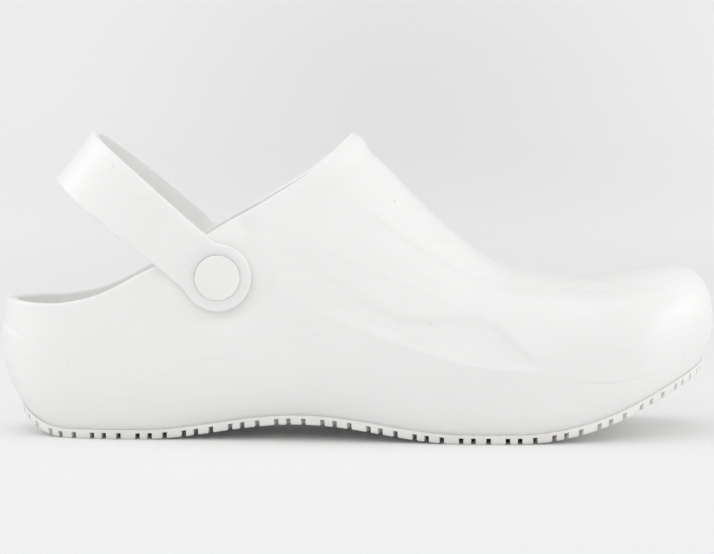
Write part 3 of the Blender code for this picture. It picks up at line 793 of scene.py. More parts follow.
def heel_relief(x, z, shape):
    """The heel's wall, set back above its ledge, and the soft waves low on the side."""
    set_back = smooth_step(*LEDGE_STEP, above(heel_ledge, x, z))
    relief = -shape.ledge_height / MM * set_back * (1 - smooth_step(*LEDGE_FADE, x))
    for wave in WAVES:
        run = np.array([wave.end_x - wave.start_x, wave.end_height - wave.start_height])
        length = np.hypot(*run)
        along = ((x - wave.start_x) * run[0] + (z - wave.start_height) * run[1]) / length
        aside = ((z - wave.start_height) * run[0] - (x - wave.start_x) * run[1]) / length
        ends = smooth_step(0, length / 3, along) * smooth_step(0, length / 3, length - along)
        relief = relief + wave.rise * shape.wave_height * bell(aside, wave.width) * ends
    return relief


def panel_relief(x, over_edge, shape):
    """The wall drops just under the panel's edge and comes back out further down."""
    drop = smooth_step(0, PANEL_ROUND, -over_edge) * (1 - smooth_step(*PANEL_RECOVER, -over_edge))
    return -panel_drop(x) * drop * shape.panel_drop


def outward_normals(grid, other, side):
    """Unit normals of one side's skin: the cross product of its two grid directions.

    The grid goes on with the other side's points across the heel, toe and top lines, so
    that both sides have the same normals there.
    """
    along = np.concatenate([other[1:2], grid, other[-2:-1]])
    past = 2 * grid[:, -1:] - grid[:, -2:-1]
    past[REAR_STEPS:] = other[REAR_STEPS:, -2:-1]
    up = np.concatenate([2 * grid[:, :1] - grid[:, 1:2], grid, past], axis=1)
    normal = side * np.cross(up[:, 2:] - up[:, :-2], along[2:] - along[:-2])
    normal[REAR_STEPS - THROAT_RIBS:REAR_STEPS + 1] = normal[REAR_STEPS + 1]
    return normal / np.maximum(np.linalg.norm(normal, axis=-1, keepdims=True), TINY)


def outer_skin(shape):
    """Both sides of the outer skin with their relief, and what draws the lines on them.

    Each point has its signed distance to a line and how clear the line is there.
    """
    x = stations(THROAT_X, REAR_STEPS, FRONT_STEPS)
    plain = {side: Ribs(x, side).skin(OUTER_ROWS) for side in SIDES}
    grids = []
    lines = {name + part: [] for name in DRAWN_LINES for part in ("", CLEAR)}
    for side in SIDES:
        points, closing, last_row = plain[side]
        along, height = points[..., 0], points[..., 2]
        over_edge = over_panel_edge(points, closing)
        relief = (flute_relief(along, height, shape) + collar_relief(along, height, shape)
                  + heel_relief(along, height, shape) + panel_relief(along, over_edge, shape))
        relief = relief * off_pad(points) * smooth_step(0, FOOT_FADE, height - height[:, :1])
        normal = outward_normals(points, plain[-side][0], side)
        raised = points + relief[..., None] * normal
        kept = np.minimum(np.arange(points.shape[1]), last_row[:, None])
        grids.append(np.take_along_axis(raised, kept[..., None], axis=1))
        for name, distance in (("panel_line", over_edge),
                               ("ridge_line", above(flute_ridge, along, height)),
                               ("mould_line", above(mould_line, along, height))):
            clear = np.clip(line_strength[name](along), 0, 1)
            lines[name].append(np.take_along_axis(distance, kept, axis=1))
            lines[name + CLEAR].append(np.take_along_axis(clear, kept, axis=1))
    return grids, lines


def rim_grid(outer_edge, inner_edge):
    """The collar's rounded edge: half a squared-off ellipse from the outer to the inner skin."""
    angle = np.linspace(0, math.pi, RIM_STEPS + 1)[:, None, None]
    across = np.sign(np.cos(angle)) * np.abs(np.cos(angle)) ** (2 / RIM_POWER)
    rise = np.maximum(np.sin(angle), 0) ** (2 / RIM_POWER)
    middle = (outer_edge + inner_edge) / 2
    return middle + across * (outer_edge - inner_edge) / 2 + rise * np.array([0, 0, RIM_CROWN])


def thicken_heel(points):
    """The inner skin with the heel's wall thicker under its rim, where the outside lies back."""
    back = 1 - smooth_step(*HEEL_THICK_X, points[..., 0])
    points[..., 0] += HEEL_THICK * back * smooth_step(*HEEL_THICK_Z, points[..., 2])
    return points


def upper_mesh(shape):
    """The moulded body: outer and inner skins, the collar's rim, the underside and the floor."""
    outer, lines = outer_skin(shape)
    inner_x = stations(inner_throat(WALL), REAR_STEPS, INNER_FRONT_STEPS)
    inner = [thicken_heel(Ribs(inner_x, side, WALL).skin(INNER_ROWS)[0]) for side in SIDES]
    grids = outer + inner
    for outer_side, inner_side in zip(outer, inner):
        grids.append(rim_grid(outer_side[:REAR_STEPS + 1, -1], inner_side[:REAR_STEPS + 1, -1]))
    grids.append(np.stack([grid[:, 0] for grid in outer]))
    grids.append(np.stack([grid[:, 0] for grid in inner]))
    mesh = join_grids("moulded_upper_skin", grids, lines)
    hole = SHANK_RADIUS + GAP
    drills = []
    for side in SIDES:
        bar = [(0, -2 * WALL), (hole, -2 * WALL), (hole, WALL), (0, WALL)]
        drills.append(join_grids(f"drill_{LABELS[side]}", [turned_grid(bar, side, pad_y(side))]))
    return cut_holes("moulded_upper_skin", mesh, drills)


def rounded_edge():
    """How far a rounded edge lies in and how far it sinks, as shares of its radius."""
    corner = np.linspace(0, math.pi / 2, ROUND_STEPS + 1)
    return 1 - np.sin(corner), 1 - np.cos(corner)


def insole_mesh():
    """The loose insole: a slab on the cavity's floor with a rounded, slightly raised border.

    The section runs from the lower middle out round the border and back over the top. The
    border is raised by the fourth power of the distance from the middle.
    """
    x = stations(inner_throat(WALL), REAR_STEPS, INNER_FRONT_STEPS)
    inset = np.full((len(x), 1), WALL + FLOOR_FILLET + INSOLE_CLEARANCE)
    edges = []
    for side in SIDES:
        ribs = Ribs(x, side, WALL)
        under = floor_height(x + inset[:, 0] * ribs.direction[:, 0])[:, None] + GAP
        edges.append(ribs.place(inset, under)[:, 0])
    left, right = edges
    width = np.maximum(np.linalg.norm(right - left, axis=1), TINY)[:, None]
    lies_in, sinks = rounded_edge()
    border = np.minimum(INSOLE_ROUND, width / 2)
    flat = np.linspace(0, 1, INSOLE_COLUMNS + 1)[None, :]
    share_flat = (border + flat * (width - 2 * border)) / width
    into = border * lies_in / width
    round_down = INSOLE_ROUND * sinks
    round_up = INSOLE_THICKNESS - round_down
    share = np.concatenate([share_flat, (1 - into)[:, 1:], (1 - into)[:, ::-1][:, :-1],
                            share_flat[:, ::-1], into[:, 1:], into[:, ::-1]], axis=1)
    zero = np.zeros(INSOLE_COLUMNS + 1)
    height = np.concatenate([zero + INSOLE_THICKNESS, round_up[1:], round_down[::-1][:-1],
                             zero, round_down[1:], round_up[::-1]])
    points = left[:, None] + share[..., None] * (right - left)[:, None]
    cup = INSOLE_CUP * np.abs(2 * share - 1) ** 4
    points[..., 2] += height + cup * height / INSOLE_THICKNESS
    return join_grids("insole_pad", [points])


def sole_loop():
    """The outsole's whole edge in plan: up the outer side to the toe and down the inner side."""
    sides = []
    for side in SIDES:
        ribs = Ribs(stations(THROAT_X, EDGE_STEPS, EDGE_STEPS), side)
        inset = (tuck(ribs.x) - OUTSOLE_PROUD)[:, None]
        sides.append(ribs.place(inset, np.zeros_like(inset))[:, 0, :2])
    return np.concatenate([sides[0], sides[1][-2::-1]])


def lengths_along(path):
    """Length along a path in plan at each of its points."""
    return np.concatenate([[0], np.cumsum(np.hypot(*np.diff(path, axis=0).T))])


def read_along(lengths, values, places):
    """Values of a closed path at the given lengths along it."""
    return np.stack([np.interp(places % lengths[-1], lengths, column) for column in values.T], axis=1)


def inward(path):
    """Unit vectors to the left of a closed path in plan, which point into the sole."""
    ends = np.concatenate([path[-2:-1], path, path[1:2]])
    tangent = ends[2:] - ends[:-2]
    tangent = tangent / np.linalg.norm(tangent, axis=1)[:, None]
    return np.stack([-tangent[:, 1], tangent[:, 0]], axis=1)


def on_sole(plan_x, plan_y, rise):
    """Points over a plan at a height above the tread."""
    return np.stack([plan_x, plan_y, ground(plan_x) + rise], axis=-1)


def cut_rows(middles, pitches, lug_steps):
    """Places along a row of lugs and cuts, with what stands there.

    Round each cut's middle lie the lug's bevel, the cut's sheer wall, its floor and the same
    again, then steps along the next lug. The second result is 1 in a cut, 0 on a lug and
    0.5 on a bevel's low edge.
    """
    half = NOTCH_WIDTH / 2
    near = np.array([-half - LUG_BEVEL, -half, -half + SHEER, half - SHEER, half, half + LUG_BEVEL])
    along = np.arange(1, lug_steps + 1) / (lug_steps + 1)
    lug = half + LUG_BEVEL + (pitches - NOTCH_WIDTH - 2 * LUG_BEVEL)[:, None] * along
    places = np.concatenate([middles[:, None] + near, middles[:, None] + lug], axis=1)
    state = np.tile([0, 0.5, 1, 1, 0.5, 0] + [0] * lug_steps, len(middles))
    return places.ravel(), state


def notch_places(loop, lengths):
    """Lengths along the edge of the notches between short, medium and long lugs."""
    total = lengths[-1]
    toe = int(np.argmax(loop[:, 0]))
    start = np.interp(NOTCH_START_X, loop[:toe + 1, 0], lengths[:toe + 1])
    periods = round(total / sum(EDGE_LUGS))
    scale = total / (periods * sum(EDGE_LUGS))
    steps = np.cumsum(np.tile(EDGE_LUGS, periods)) * scale
    return np.sort((start + steps) % total)


def edge_grids(loop):
    """The outsole's edge lugs, channel and slab: a profile carried round the edge.

    The profile runs down the edge, under the lug and up into the channel. In a notch it
    stays at the notch's floor, and the sheets over and inside the ring are ruled across.
    """
    lengths = lengths_along(loop)
    middles = notch_places(loop, lengths)
    pitches = np.diff(np.append(middles, middles[0] + lengths[-1]))
    places, state = cut_rows(middles, pitches, EDGE_LUG_STEPS)
    point = read_along(lengths, loop, places)
    into = read_along(lengths, inward(loop), places)
    inner = EDGE_LUG_LENGTH + CHANNEL_WIDTH
    lug = [
        (0.0, OUTSOLE_THICKNESS + GAP - HAIRLINE),
        (OUTSOLE_DRAFT / 4, OUTSOLE_THICKNESS * 0.7),
        (OUTSOLE_DRAFT / 2, OUTSOLE_THICKNESS * 0.4),
        (OUTSOLE_DRAFT * 0.8, LUG_BEVEL),
        (OUTSOLE_DRAFT + LUG_BEVEL, 0.0),
        (EDGE_LUG_LENGTH / 2, 0.0),
        (EDGE_LUG_LENGTH - LUG_BEVEL, 0.0),
        (EDGE_LUG_LENGTH, LUG_BEVEL),
    ]
    channel = [
        (EDGE_LUG_LENGTH, CHANNEL_DEPTH),
        (inner, CHANNEL_DEPTH),
        (inner + CHANNEL_WIDTH, CHANNEL_DEPTH),
    ]
    profile = np.array(lug + channel)
    least = np.select([state == 1, state == 0.5], [NOTCH_DEPTH, LUG_BEVEL], 0.0)
    under_lug = np.arange(len(profile)) < len(lug)
    rise = np.where(under_lug, np.maximum(profile[:, 1], least[:, None]), profile[:, 1])
    plan = point[:, None] + profile[:, :1] * into[:, None]
    ring = on_sole(plan[..., 0], plan[..., 1], rise)
    closed = np.concatenate([ring, ring[:1]])
    half = len(ring) // 2
    sheets = [np.stack([ring[:half, column], ring[::-1][:half, column]]) for column in (0, -1)]
    return [closed] + sheets


def tread_grids(loop):
    """The inner tread: a block inside the channel with chevron grooves across it.

    Rows lie across the sole between the channel's inner edges, led forward in the middle.
    """
    path = loop + inward(loop) * (EDGE_LUG_LENGTH + CHANNEL_WIDTH)
    heel, toe = int(np.argmin(path[:, 0])), int(np.argmax(path[:, 0]))
    outer = path[heel:toe + 1] if heel < toe else np.concatenate([path[heel:-1], path[:toe + 1]])
    inner = path[toe:][::-1]
    start, end = path[heel, 0], path[toe, 0]
    middles = np.arange(*TREAD_FIELD, TREAD_PITCH)
    field, state = cut_rows(middles, np.full(len(middles), TREAD_PITCH), TREAD_LUG_STEPS)
    ends = 1 - np.cos(np.linspace(0, math.pi / 2, TREAD_STEPS))
    back = start + (field[0] - start) * ends[:-1]
    front = end - (end - field[-1]) * ends[-2::-1]
    row = np.concatenate([back, field, front])
    state = np.concatenate([0 * back, state, 0 * front])
    low = np.interp(row, outer[:, 0], outer[:, 1])
    high = np.interp(row, inner[:, 0], inner[:, 1])
    width = np.maximum(high - low, TINY)[:, None]
    bevel = np.minimum(LUG_BEVEL / width, 0.5)
    even = bevel + (1 - 2 * bevel) * np.linspace(0, 1, TREAD_STEPS + 1)
    across = np.concatenate([0 * bevel, even, 1 + 0 * bevel], axis=1)
    lead = CHEVRON * (1 - np.abs(2 * across - 1)) * np.clip(width / CHEVRON_WIDTH, 0, 1)
    least = np.select([state == 1, state == 0.5], [TREAD_DEPTH, LUG_BEVEL], 0.0)[:, None]
    rise = np.maximum(least, LUG_BEVEL * ((across == 0) | (across == 1)))
    under = on_sole(row[:, None] + lead, low[:, None] + across * (high - low)[:, None], rise)
    root = under[:, [0, -1]].copy()
    root[..., 2] = ground(root[..., 0]) + CHANNEL_DEPTH + TREAD_ROOT
    walls = [np.stack([under[:, column], root[:, column]]) for column in (0, -1)]
    return [under, root] + walls


def band_edge(away, edge):
    """Distance of a band edge from the axis line: the eye's circle run softly into the band."""
    eye = np.sqrt(np.maximum(EYE_RADIUS ** 2 - away ** 2, 0))
    band = edge(away) * np.clip((away + EYE_RADIUS) / EYE_RADIUS, 0, 1)
    return (eye ** EDGE_SOFTENING + band ** EDGE_SOFTENING) ** (1 / EDGE_SOFTENING)


def strap_thickness(away):
    """The eye's thickness running out into the band's."""
    return EYE_THICKNESS + (STRAP_THICKNESS - EYE_THICKNESS) * smooth_step(*EYE_BLEND, away)


def strap_spread():
    """Half the distance between the strap's inner faces at its eyes."""
    return (pad_y(MEDIAL) - pad_y(LATERAL)) / 2 + GAP


def limb(away, side):
    """Place across and outward direction of a limb's inner face at a distance from the axis.

    The limb is a quarter of a superellipse, carried straight on behind the axis.
    """
    spread = strap_spread()
    share = np.clip(away / STRAP_REACH, 0, 1)
    left = np.maximum(1 - share ** STRAP_POWER, TINY)
    across = side * spread * left ** (1 / STRAP_POWER)
    slope = -side * spread / STRAP_REACH * share ** (STRAP_POWER - 1) * left ** (1 / STRAP_POWER - 1)
    outward = np.stack([-side * slope, side + 0 * slope], axis=-1)
    return across, outward / np.linalg.norm(outward, axis=-1, keepdims=True)


def strap_points(away, across, outward, width, height):
    """Points of the strap from its own coordinates, turned up about the rivets' axis."""
    along = np.array([-math.cos(STRAP_ANGLE), 0, math.sin(STRAP_ANGLE)])
    sideways = np.array([math.sin(STRAP_ANGLE), 0, math.cos(STRAP_ANGLE)])
    pivot = np.array([RIVET_X, (pad_y(LATERAL) + pad_y(MEDIAL)) / 2, RIVET_Z])
    lean = STRAP_LEAN * smooth_step(EYE_BLEND[1], STRAP_REACH, away)
    reach = (away + lean * width + height * outward[..., 0])[..., None] * along
    points = pivot + reach + width[..., None] * sideways
    points[..., 1] += across + height * outward[..., 1]
    return points


def band_grid():
    """The strap's band from eye to eye: a rounded flat section carried round the bend."""
    spread = strap_spread()
    turn = np.linspace(0, math.pi, FINE_STEPS)
    away = STRAP_REACH * np.maximum(np.sin(turn), 0) ** (2 / STRAP_POWER)
    across = -spread * np.sign(np.cos(turn)) * np.abs(np.cos(turn)) ** (2 / STRAP_POWER)
    first = int(np.argmax(away >= EYE_END))
    path = np.stack([away, across], axis=1)[first:-first]
    run = np.gradient(path, axis=0)
    run = run / np.linalg.norm(run, axis=1)[:, None]
    lengths = lengths_along(path)
    places = np.linspace(0, lengths[-1], BAND_STEPS + 1)
    away, across, run_away, run_across = [
        np.interp(places, lengths, column) for column in (*path.T, *run.T)]
    outward = np.stack([run_across, -run_away], axis=1)
    for row, side in ((0, LATERAL), (-1, MEDIAL)):
        away[row] = EYE_END
        across[row], outward[row] = limb(np.array(EYE_END), side)
    width, height = band_section(away)
    return strap_points(away[:, None], across[:, None], outward[:, None], width, height)


def band_section(away):
    """Width and height of the band's section points, a row for each distance from the axis."""
    upper = band_edge(away, band_upper)[:, None]
    lower = -band_edge(away, band_lower)[:, None]
    thick = strap_thickness(away)[:, None]
    dish = STRAP_DISH * smooth_step(*EYE_BLEND, away - EYE_END)[:, None]
    share = np.linspace(0, 1, BAND_COLUMNS + 1)
    into, sink = [STRAP_ROUND * part for part in rounded_edge()]
    flat = lower + STRAP_ROUND + share * (upper - lower - 2 * STRAP_ROUND)
    hollow = dish * (1 - (2 * share - 1) ** 2)
    width = np.concatenate([flat, (upper - into)[:, 1:], (upper - into)[:, ::-1],
                            flat[:, ::-1][:, 1:], (lower + into)[:, 1:],
                            (lower + into)[:, ::-1]], axis=1)
    zero = np.zeros_like(thick)
    height = np.concatenate([thick - hollow, (thick - sink)[:, 1:], (zero + sink)[:, ::-1],
                             zero + 0 * share[1:], (zero + sink)[:, 1:],
                             (thick - sink)[:, ::-1]], axis=1)
    return width, height


def eye_outline():
    """Outline of an eye, from its lower join round the tip to its upper join, with normals."""
    sides, tip = EYE_STEPS
    straight = np.linspace(EYE_END, 0, sides + 1)
    arc = -EYE_RADIUS * np.sin(np.linspace(0, math.pi / 2, tip + 1))[1:]
    away = np.concatenate([straight, arc])
    low = np.stack([away, -band_edge(away, band_lower)], axis=1)
    high = np.stack([away, band_edge(away, band_upper)], axis=1)[-2::-1]
    outline = np.concatenate([low, high])
    run = np.gradient(outline, axis=0)
    facing = np.stack([run[:, 1], -run[:, 0]], axis=1)
    facing = -facing / np.linalg.norm(facing, axis=1)[:, None]
    facing[0] = (0, -1)
    facing[-1] = (0, 1)
    return outline, facing


def eye_grids(side):
    """A strap's eye: faces ruled from its outline to the button's seat and the shank's hole.

    The outline goes on across the join, where the face has the band's own points.
    """
    outline, facing = eye_outline()
    into, sink = [STRAP_ROUND * part for part in rounded_edge()]
    into = np.concatenate([into, into[::-1]])
    edge = outline[:, None] - into[:, None] * facing[:, None]
    thick = strap_thickness(edge[..., 0])
    top = thick[:, :ROUND_STEPS + 1]
    rise = np.concatenate([top - sink, 0 * top + sink[::-1]], axis=1)
    width, _ = band_section(np.array([EYE_END]))
    join = np.stack([np.full(BAND_COLUMNS - 1, EYE_END), width[0, 1:BAND_COLUMNS][::-1]], axis=1)
    border = np.concatenate([edge[:, 0], join, edge[:1, 0]])
    angle = np.arctan2(border[:, 1], border[:, 0])
    circle = np.stack([np.cos(angle), np.sin(angle)], axis=1)
    seat = BUTTON_RADIUS + GAP
    hole = SHANK_RADIUS + GAP
    floor = EYE_THICKNESS - BUTTON_THICKNESS - GAP
    share = np.linspace(0, 1, FACE_RINGS + 1)[:, None, None]
    face = border + share * ((seat + SEAT_BEVEL) * circle - border)
    face_rise = strap_thickness(face[..., 0])
    rims = np.stack([seat * circle, seat * circle, hole * circle, hole * circle])
    wall_top = face_rise[-1] - SEAT_BEVEL
    rims_rise = np.stack([wall_top, 0 * wall_top + floor, 0 * wall_top + floor, 0 * wall_top])
    back = hole * circle + share[1:] * (border - hole * circle)
    plan = np.concatenate([face, rims, back])
    height = np.concatenate([face_rise, rims_rise, np.zeros(back.shape[:2])])
    grids = []
    for flat, up in ((plan, height), (edge, rise)):
        across, outward = limb(flat[..., 0], side)
        grids.append(strap_points(flat[..., 0], across, outward, flat[..., 1], up))
    return grids


def strap_mesh():
    """The heel strap: the band and its two eyes."""
    return join_grids("heel_strap_skin", [band_grid()] + eye_grids(LATERAL) + eye_grids(MEDIAL))


def round_over(radius, height, size, start, end):
    """Points of a rounded corner about a centre, between two angles."""
    angle = np.linspace(start, end, ROUND_STEPS + 1)
    return [(radius + size * math.cos(a), height + size * math.sin(a)) for a in angle]


def button_mesh(side):
    """A rivet's outer button: a low dome with a rounded edge, and its shank."""
    outer_face = pad_y(side) + side * (GAP + EYE_THICKNESS)
    inner_face = pad_y(side) - side * (WALL + GAP)
    end = -abs(outer_face - inner_face) - WASHER_THICKNESS
    radius = BUTTON_RADIUS + GAP - HAIRLINE
    flat = radius - BUTTON_ROUND
    dome = [(r, BUTTON_CROWN * (1 - (r / flat) ** 2)) for r in np.linspace(0, flat, DOME_STEPS + 1)[:-1]]
    edge = round_over(flat, -BUTTON_ROUND, BUTTON_ROUND, math.pi / 2, 0)
    foot = round_over(SHANK_RADIUS - BUTTON_ROUND, end + BUTTON_ROUND, BUTTON_ROUND, 0, -math.pi / 2)
    under = [(radius, -BUTTON_THICKNESS), (SHANK_RADIUS, -BUTTON_THICKNESS)]
    profile = dome + edge + under + foot + [(0, end)]
    return join_grids(f"button_{LABELS[side]}", [turned_grid(profile, side, outer_face)])


def washer_mesh(side):
    """A rivet's inner washer: a flat ring with a rounded outer edge."""
    inner_face = pad_y(side) - side * (WALL + GAP)
    bore = SHANK_RADIUS + GAP
    edge = round_over(WASHER_RADIUS - WASHER_ROUND, WASHER_ROUND - WASHER_THICKNESS, WASHER_ROUND,
                      0, -math.pi / 2)
    profile = [(bore, 0), (WASHER_RADIUS, 0)] + edge + [(bore, -WASHER_THICKNESS), (bore, 0)]
    return join_grids(f"washer_{LABELS[side]}", [turned_grid(profile, side, inner_face)])


class Nodes:
    """Short calls for building a shader tree."""

    def __init__(self, tree):
        self.tree = tree

    def fill(self, socket, value):
        """Link an output to a socket, or set the socket's own value."""
        if isinstance(value, bpy.types.NodeSocket):
            self.tree.links.new(value, socket)
        else:
            socket.default_value = value

    def add(self, kind, inputs=None, **settings):
        """A node of that kind with settings, and inputs by name: a value or an output."""
        node = self.tree.nodes.new(kind)
        for name, value in settings.items():
            setattr(node, name, value)
        for name, value in (inputs or {}).items():
            self.fill(node.inputs[name], value)
        return node

    def math(self, operation, first, second=0.0, clamp=False):
        """The result of a sum on two values."""
        inputs = {0: first, 1: second}
        return self.add("ShaderNodeMath", inputs, operation=operation, use_clamp=clamp).outputs[0]

    def fade(self, value, low, high, start=0.0, end=1.0):
        """A value turned smoothly from start at low to end at high."""
        inputs = {"Value": value, "From Min": low, "From Max": high, "To Min": start, "To Max": end}
        return self.add("ShaderNodeMapRange", inputs, interpolation_type="SMOOTHSTEP").outputs[0]

    def mix(self, share, first, second):
        """A colour between two colours."""
        node = self.add("ShaderNodeMix", data_type="RGBA")
        for name, value in (("Factor_Float", share), ("A_Color", first), ("B_Color", second)):
            self.fill(next(s for s in node.inputs if s.identifier == name), value)
        return next(s for s in node.outputs if s.identifier == "Result_Color")

    def stain(self, colour, mask, strength, over):
        """A colour with another laid over it where a mask is 1, at that strength."""
        return self.mix(self.math("MULTIPLY", mask, strength), colour, opaque(over))

    def weigh(self, terms):
        """The sum of values, each times its weight."""
        parts = [self.math("MULTIPLY", value, weight) for value, weight in terms]
        total = parts[0]
        for part in parts[1:]:
            total = self.math("ADD", total, part)
        return total

    def slant(self, across, rise):
        """Length of the slanted side over two square sides: the root of their squares' sum."""
        squares = [self.math("MULTIPLY", side, side) for side in (across, rise)]
        return self.math("SQRT", self.math("ADD", *squares))

    def noise(self, vector, scale, detail):
        """Noise values round a half, with so many waves for each metre."""
        inputs = {"Vector": vector, "Scale": scale, "Detail": detail}
        return self.add("ShaderNodeTexNoise", inputs).outputs[0]

    def effect(self, name, **inputs):
        """A shared effect's node group placed with its own values."""
        return self.add("ShaderNodeGroup", inputs, node_tree=shared_group(name)).outputs


def new_group(name, inputs, outputs):
    """An empty shader group with named sockets, its node calls, its inputs and its end node."""
    tree = bpy.data.node_groups.new(name, "ShaderNodeTree")
    for socket, kind in inputs:
        tree.interface.new_socket(socket, in_out="INPUT", socket_type=kind)
    for socket, kind in outputs:
        tree.interface.new_socket(socket, in_out="OUTPUT", socket_type=kind)
    nodes = Nodes(tree)
    start = nodes.add("NodeGroupInput").outputs
    end = nodes.add("NodeGroupOutput").inputs
    return tree, nodes, start, end


NUMBER = "NodeSocketFloat"
DIRECTION = "NodeSocketVector"


def moulded_grain_group():
    """The skin that a mould leaves: fine pebbles over a slow unevenness, and pale clouds."""
    inputs = [("Vector", DIRECTION), ("Pebbles", NUMBER), ("Clouds", NUMBER)]
    outputs = [("Height", NUMBER), ("Cloud", NUMBER)]
    tree, nodes, start, end = new_group("moulded_grain", inputs, outputs)
    fine = nodes.noise(start["Vector"], start["Pebbles"], 3.0)
    broad = nodes.noise(start["Vector"], nodes.math("MULTIPLY", start["Pebbles"], BROAD_GRAIN), 1.0)
    tree.links.new(nodes.weigh(zip((fine, broad), GRAIN_MIX)), end["Height"])
    cloud = nodes.noise(start["Vector"], start["Clouds"], 3.0)
    tree.links.new(nodes.fade(cloud, *CLOUD_FADE), end["Cloud"])
    return tree


def specks_group():
    """Sparse small dark specks: a few of the cells of a Voronoi pattern hold one."""
    inputs = [("Vector", DIRECTION), ("Cells", NUMBER), ("Share", NUMBER), ("Radius", NUMBER)]
    tree, nodes, start, end = new_group("moulding_specks", inputs, [("Mask", NUMBER)])
    cell = nodes.add("ShaderNodeTexVoronoi", {"Vector": start["Vector"], "Scale": start["Cells"]})
    draw = nodes.add("ShaderNodeSeparateColor", {0: cell.outputs["Color"]})
    chosen = nodes.math("LESS_THAN", draw.outputs[0], start["Share"])
    size = nodes.math("MULTIPLY", start["Radius"], draw.outputs[1])
    spot = nodes.fade(nodes.math("SUBTRACT", size, cell.outputs["Distance"]), 0.0, SPECK_EDGE)
    tree.links.new(nodes.math("MULTIPLY", spot, chosen), end["Mask"])
    return tree


def drawn_line_group():
    """A line where a distance is nil: 1 on it, fading out over its width on both sides."""
    inputs = [("Distance", NUMBER), ("Width", NUMBER)]
    tree, nodes, start, end = new_group("drawn_line", inputs, [("Mask", NUMBER)])
    away = nodes.math("DIVIDE", nodes.math("ABSOLUTE", start["Distance"]), start["Width"])
    tree.links.new(nodes.fade(away, 0.0, 1.0, 1.0, 0.0), end["Mask"])
    return tree


def floor_grime_group():
    """Grey from the floor: strongest at the tread, gone at the height, broken up by noise."""
    inputs = [("Vector", DIRECTION), ("Height", NUMBER)]
    tree, nodes, start, end = new_group("floor_grime", inputs, [("Mask", NUMBER)])
    place = nodes.add("ShaderNodeSeparateXYZ", {0: start["Vector"]})
    low = nodes.math("DIVIDE", place.outputs[2], start["Height"])
    patch = nodes.noise(start["Vector"], GRIME_PATCHES, 4.0)
    low = nodes.fade(nodes.math("ADD", low, nodes.math("SUBTRACT", patch, 0.5)), 0.0, 1.0, 1.0, 0.0)
    tree.links.new(low, end["Mask"])
    return tree


GROUPS = {
    "grain": moulded_grain_group,
    "specks": specks_group,
    "line": drawn_line_group,
    "grime": floor_grime_group,
}


def shared_group(name):
    """A shared effect's node group, built the first time it is asked for."""
    maker = GROUPS[name]
    key = f"clog_{name}"
    if key not in bpy.data.node_groups:
        maker().name = key
    return bpy.data.node_groups[key]


def new_material(name, roughness, coat, glow=0.0):
    """A material with a Principled BSDF, its node calls and its Object coordinates.

    Glow is the share of light that passes some way through the material.
    """
    material = bpy.data.materials.new(name)
    material.use_nodes = True
    nodes = Nodes(material.node_tree)
    shader = material.node_tree.nodes["Principled BSDF"]
    shader.inputs["Roughness"].default_value = roughness
    shader.inputs["Coat Weight"].default_value = coat
    shader.inputs["Subsurface Weight"].default_value = glow
    shader.inputs["Subsurface Radius"].default_value = GLOW_TINT
    shader.inputs["Subsurface Scale"].default_value = GLOW_DEPTH * MM
    place = nodes.add("ShaderNodeTexCoord").outputs["Object"]
    return material, nodes, shader, place


def opaque(colour):
    """A colour with full alpha."""
    return (*colour, 1.0)


def grained(nodes, place, skin, dull, pale, roughness):
    """A skin's colour and roughness over its clouds, from dull to pale, and its grain's height."""
    grain = nodes.effect("grain", Vector=place, Pebbles=skin.pebbles, Clouds=skin.clouds)
    cloud = grain["Cloud"]
    colour = nodes.mix(cloud, opaque(dull), opaque(pale))
    rough = nodes.fade(cloud, 0.0, 1.0, roughness + skin.rougher, roughness - skin.smoother)
    return colour, rough, grain["Height"]


def finish_skin(nodes, shader, colour, rough, height, skin):
    """Link a surface's colour and roughness, and its height through a Bump node."""
    nodes.fill(shader.inputs["Base Color"], colour)
    nodes.fill(shader.inputs["Roughness"], rough)
    bump = {"Height": height, "Strength": skin.strength, "Distance": skin.depth * MM}
    nodes.fill(shader.inputs["Normal"], nodes.add("ShaderNodeBump", bump).outputs[0])


def foam_skin(nodes, place, finish, skin):
    """What all the moulded foam has: grained colour with grime, smudges and specks over it."""
    colour, rough, height = grained(
        nodes, place, skin, finish.foam_shade, finish.foam_colour, finish.foam_roughness)
    grime = nodes.effect("grime", Vector=place, Height=FOAM_GRIME_HEIGHT)["Mask"]
    colour = nodes.stain(colour, grime, FOAM_GRIME, finish.grime_and_shade_colour)
    streaks = nodes.add("ShaderNodeMapping", {"Vector": place, "Scale": SMUDGE_STRETCH}).outputs[0]
    smudge = nodes.fade(nodes.noise(streaks, SMUDGES, 4.0), *SMUDGE_FADE)
    colour = nodes.stain(colour, smudge, SMUDGE_DIRT, finish.grime_and_shade_colour)
    specks = nodes.effect("specks", Vector=place, Cells=90.0, Share=0.05, Radius=0.05)["Mask"]
    colour = nodes.stain(colour, specks, SPECK_DIRT, finish.speck_colour)
    return colour, rough, height


def mark_masks(nodes, place, marks):
    """The marks on the outer side, as one mask: near a mark's point in side view."""
    parts = nodes.add("ShaderNodeSeparateXYZ", {0: place}).outputs
    outer = nodes.math("LESS_THAN", parts[1], 0.0)
    total = None
    for mark in marks:
        x, _, z = to_frame([mark.x, 0, mark.height])
        aside = nodes.math("SUBTRACT", parts[0], float(x))
        rise = nodes.math("SUBTRACT", parts[2], float(z))
        radius = mark.radius * MM
        spot = nodes.fade(nodes.slant(aside, rise), MARK_CORE * radius, radius, 1.0, 0.0)
        total = spot if total is None else nodes.math("MAXIMUM", total, spot)
    return nodes.math("MULTIPLY", total, outer)


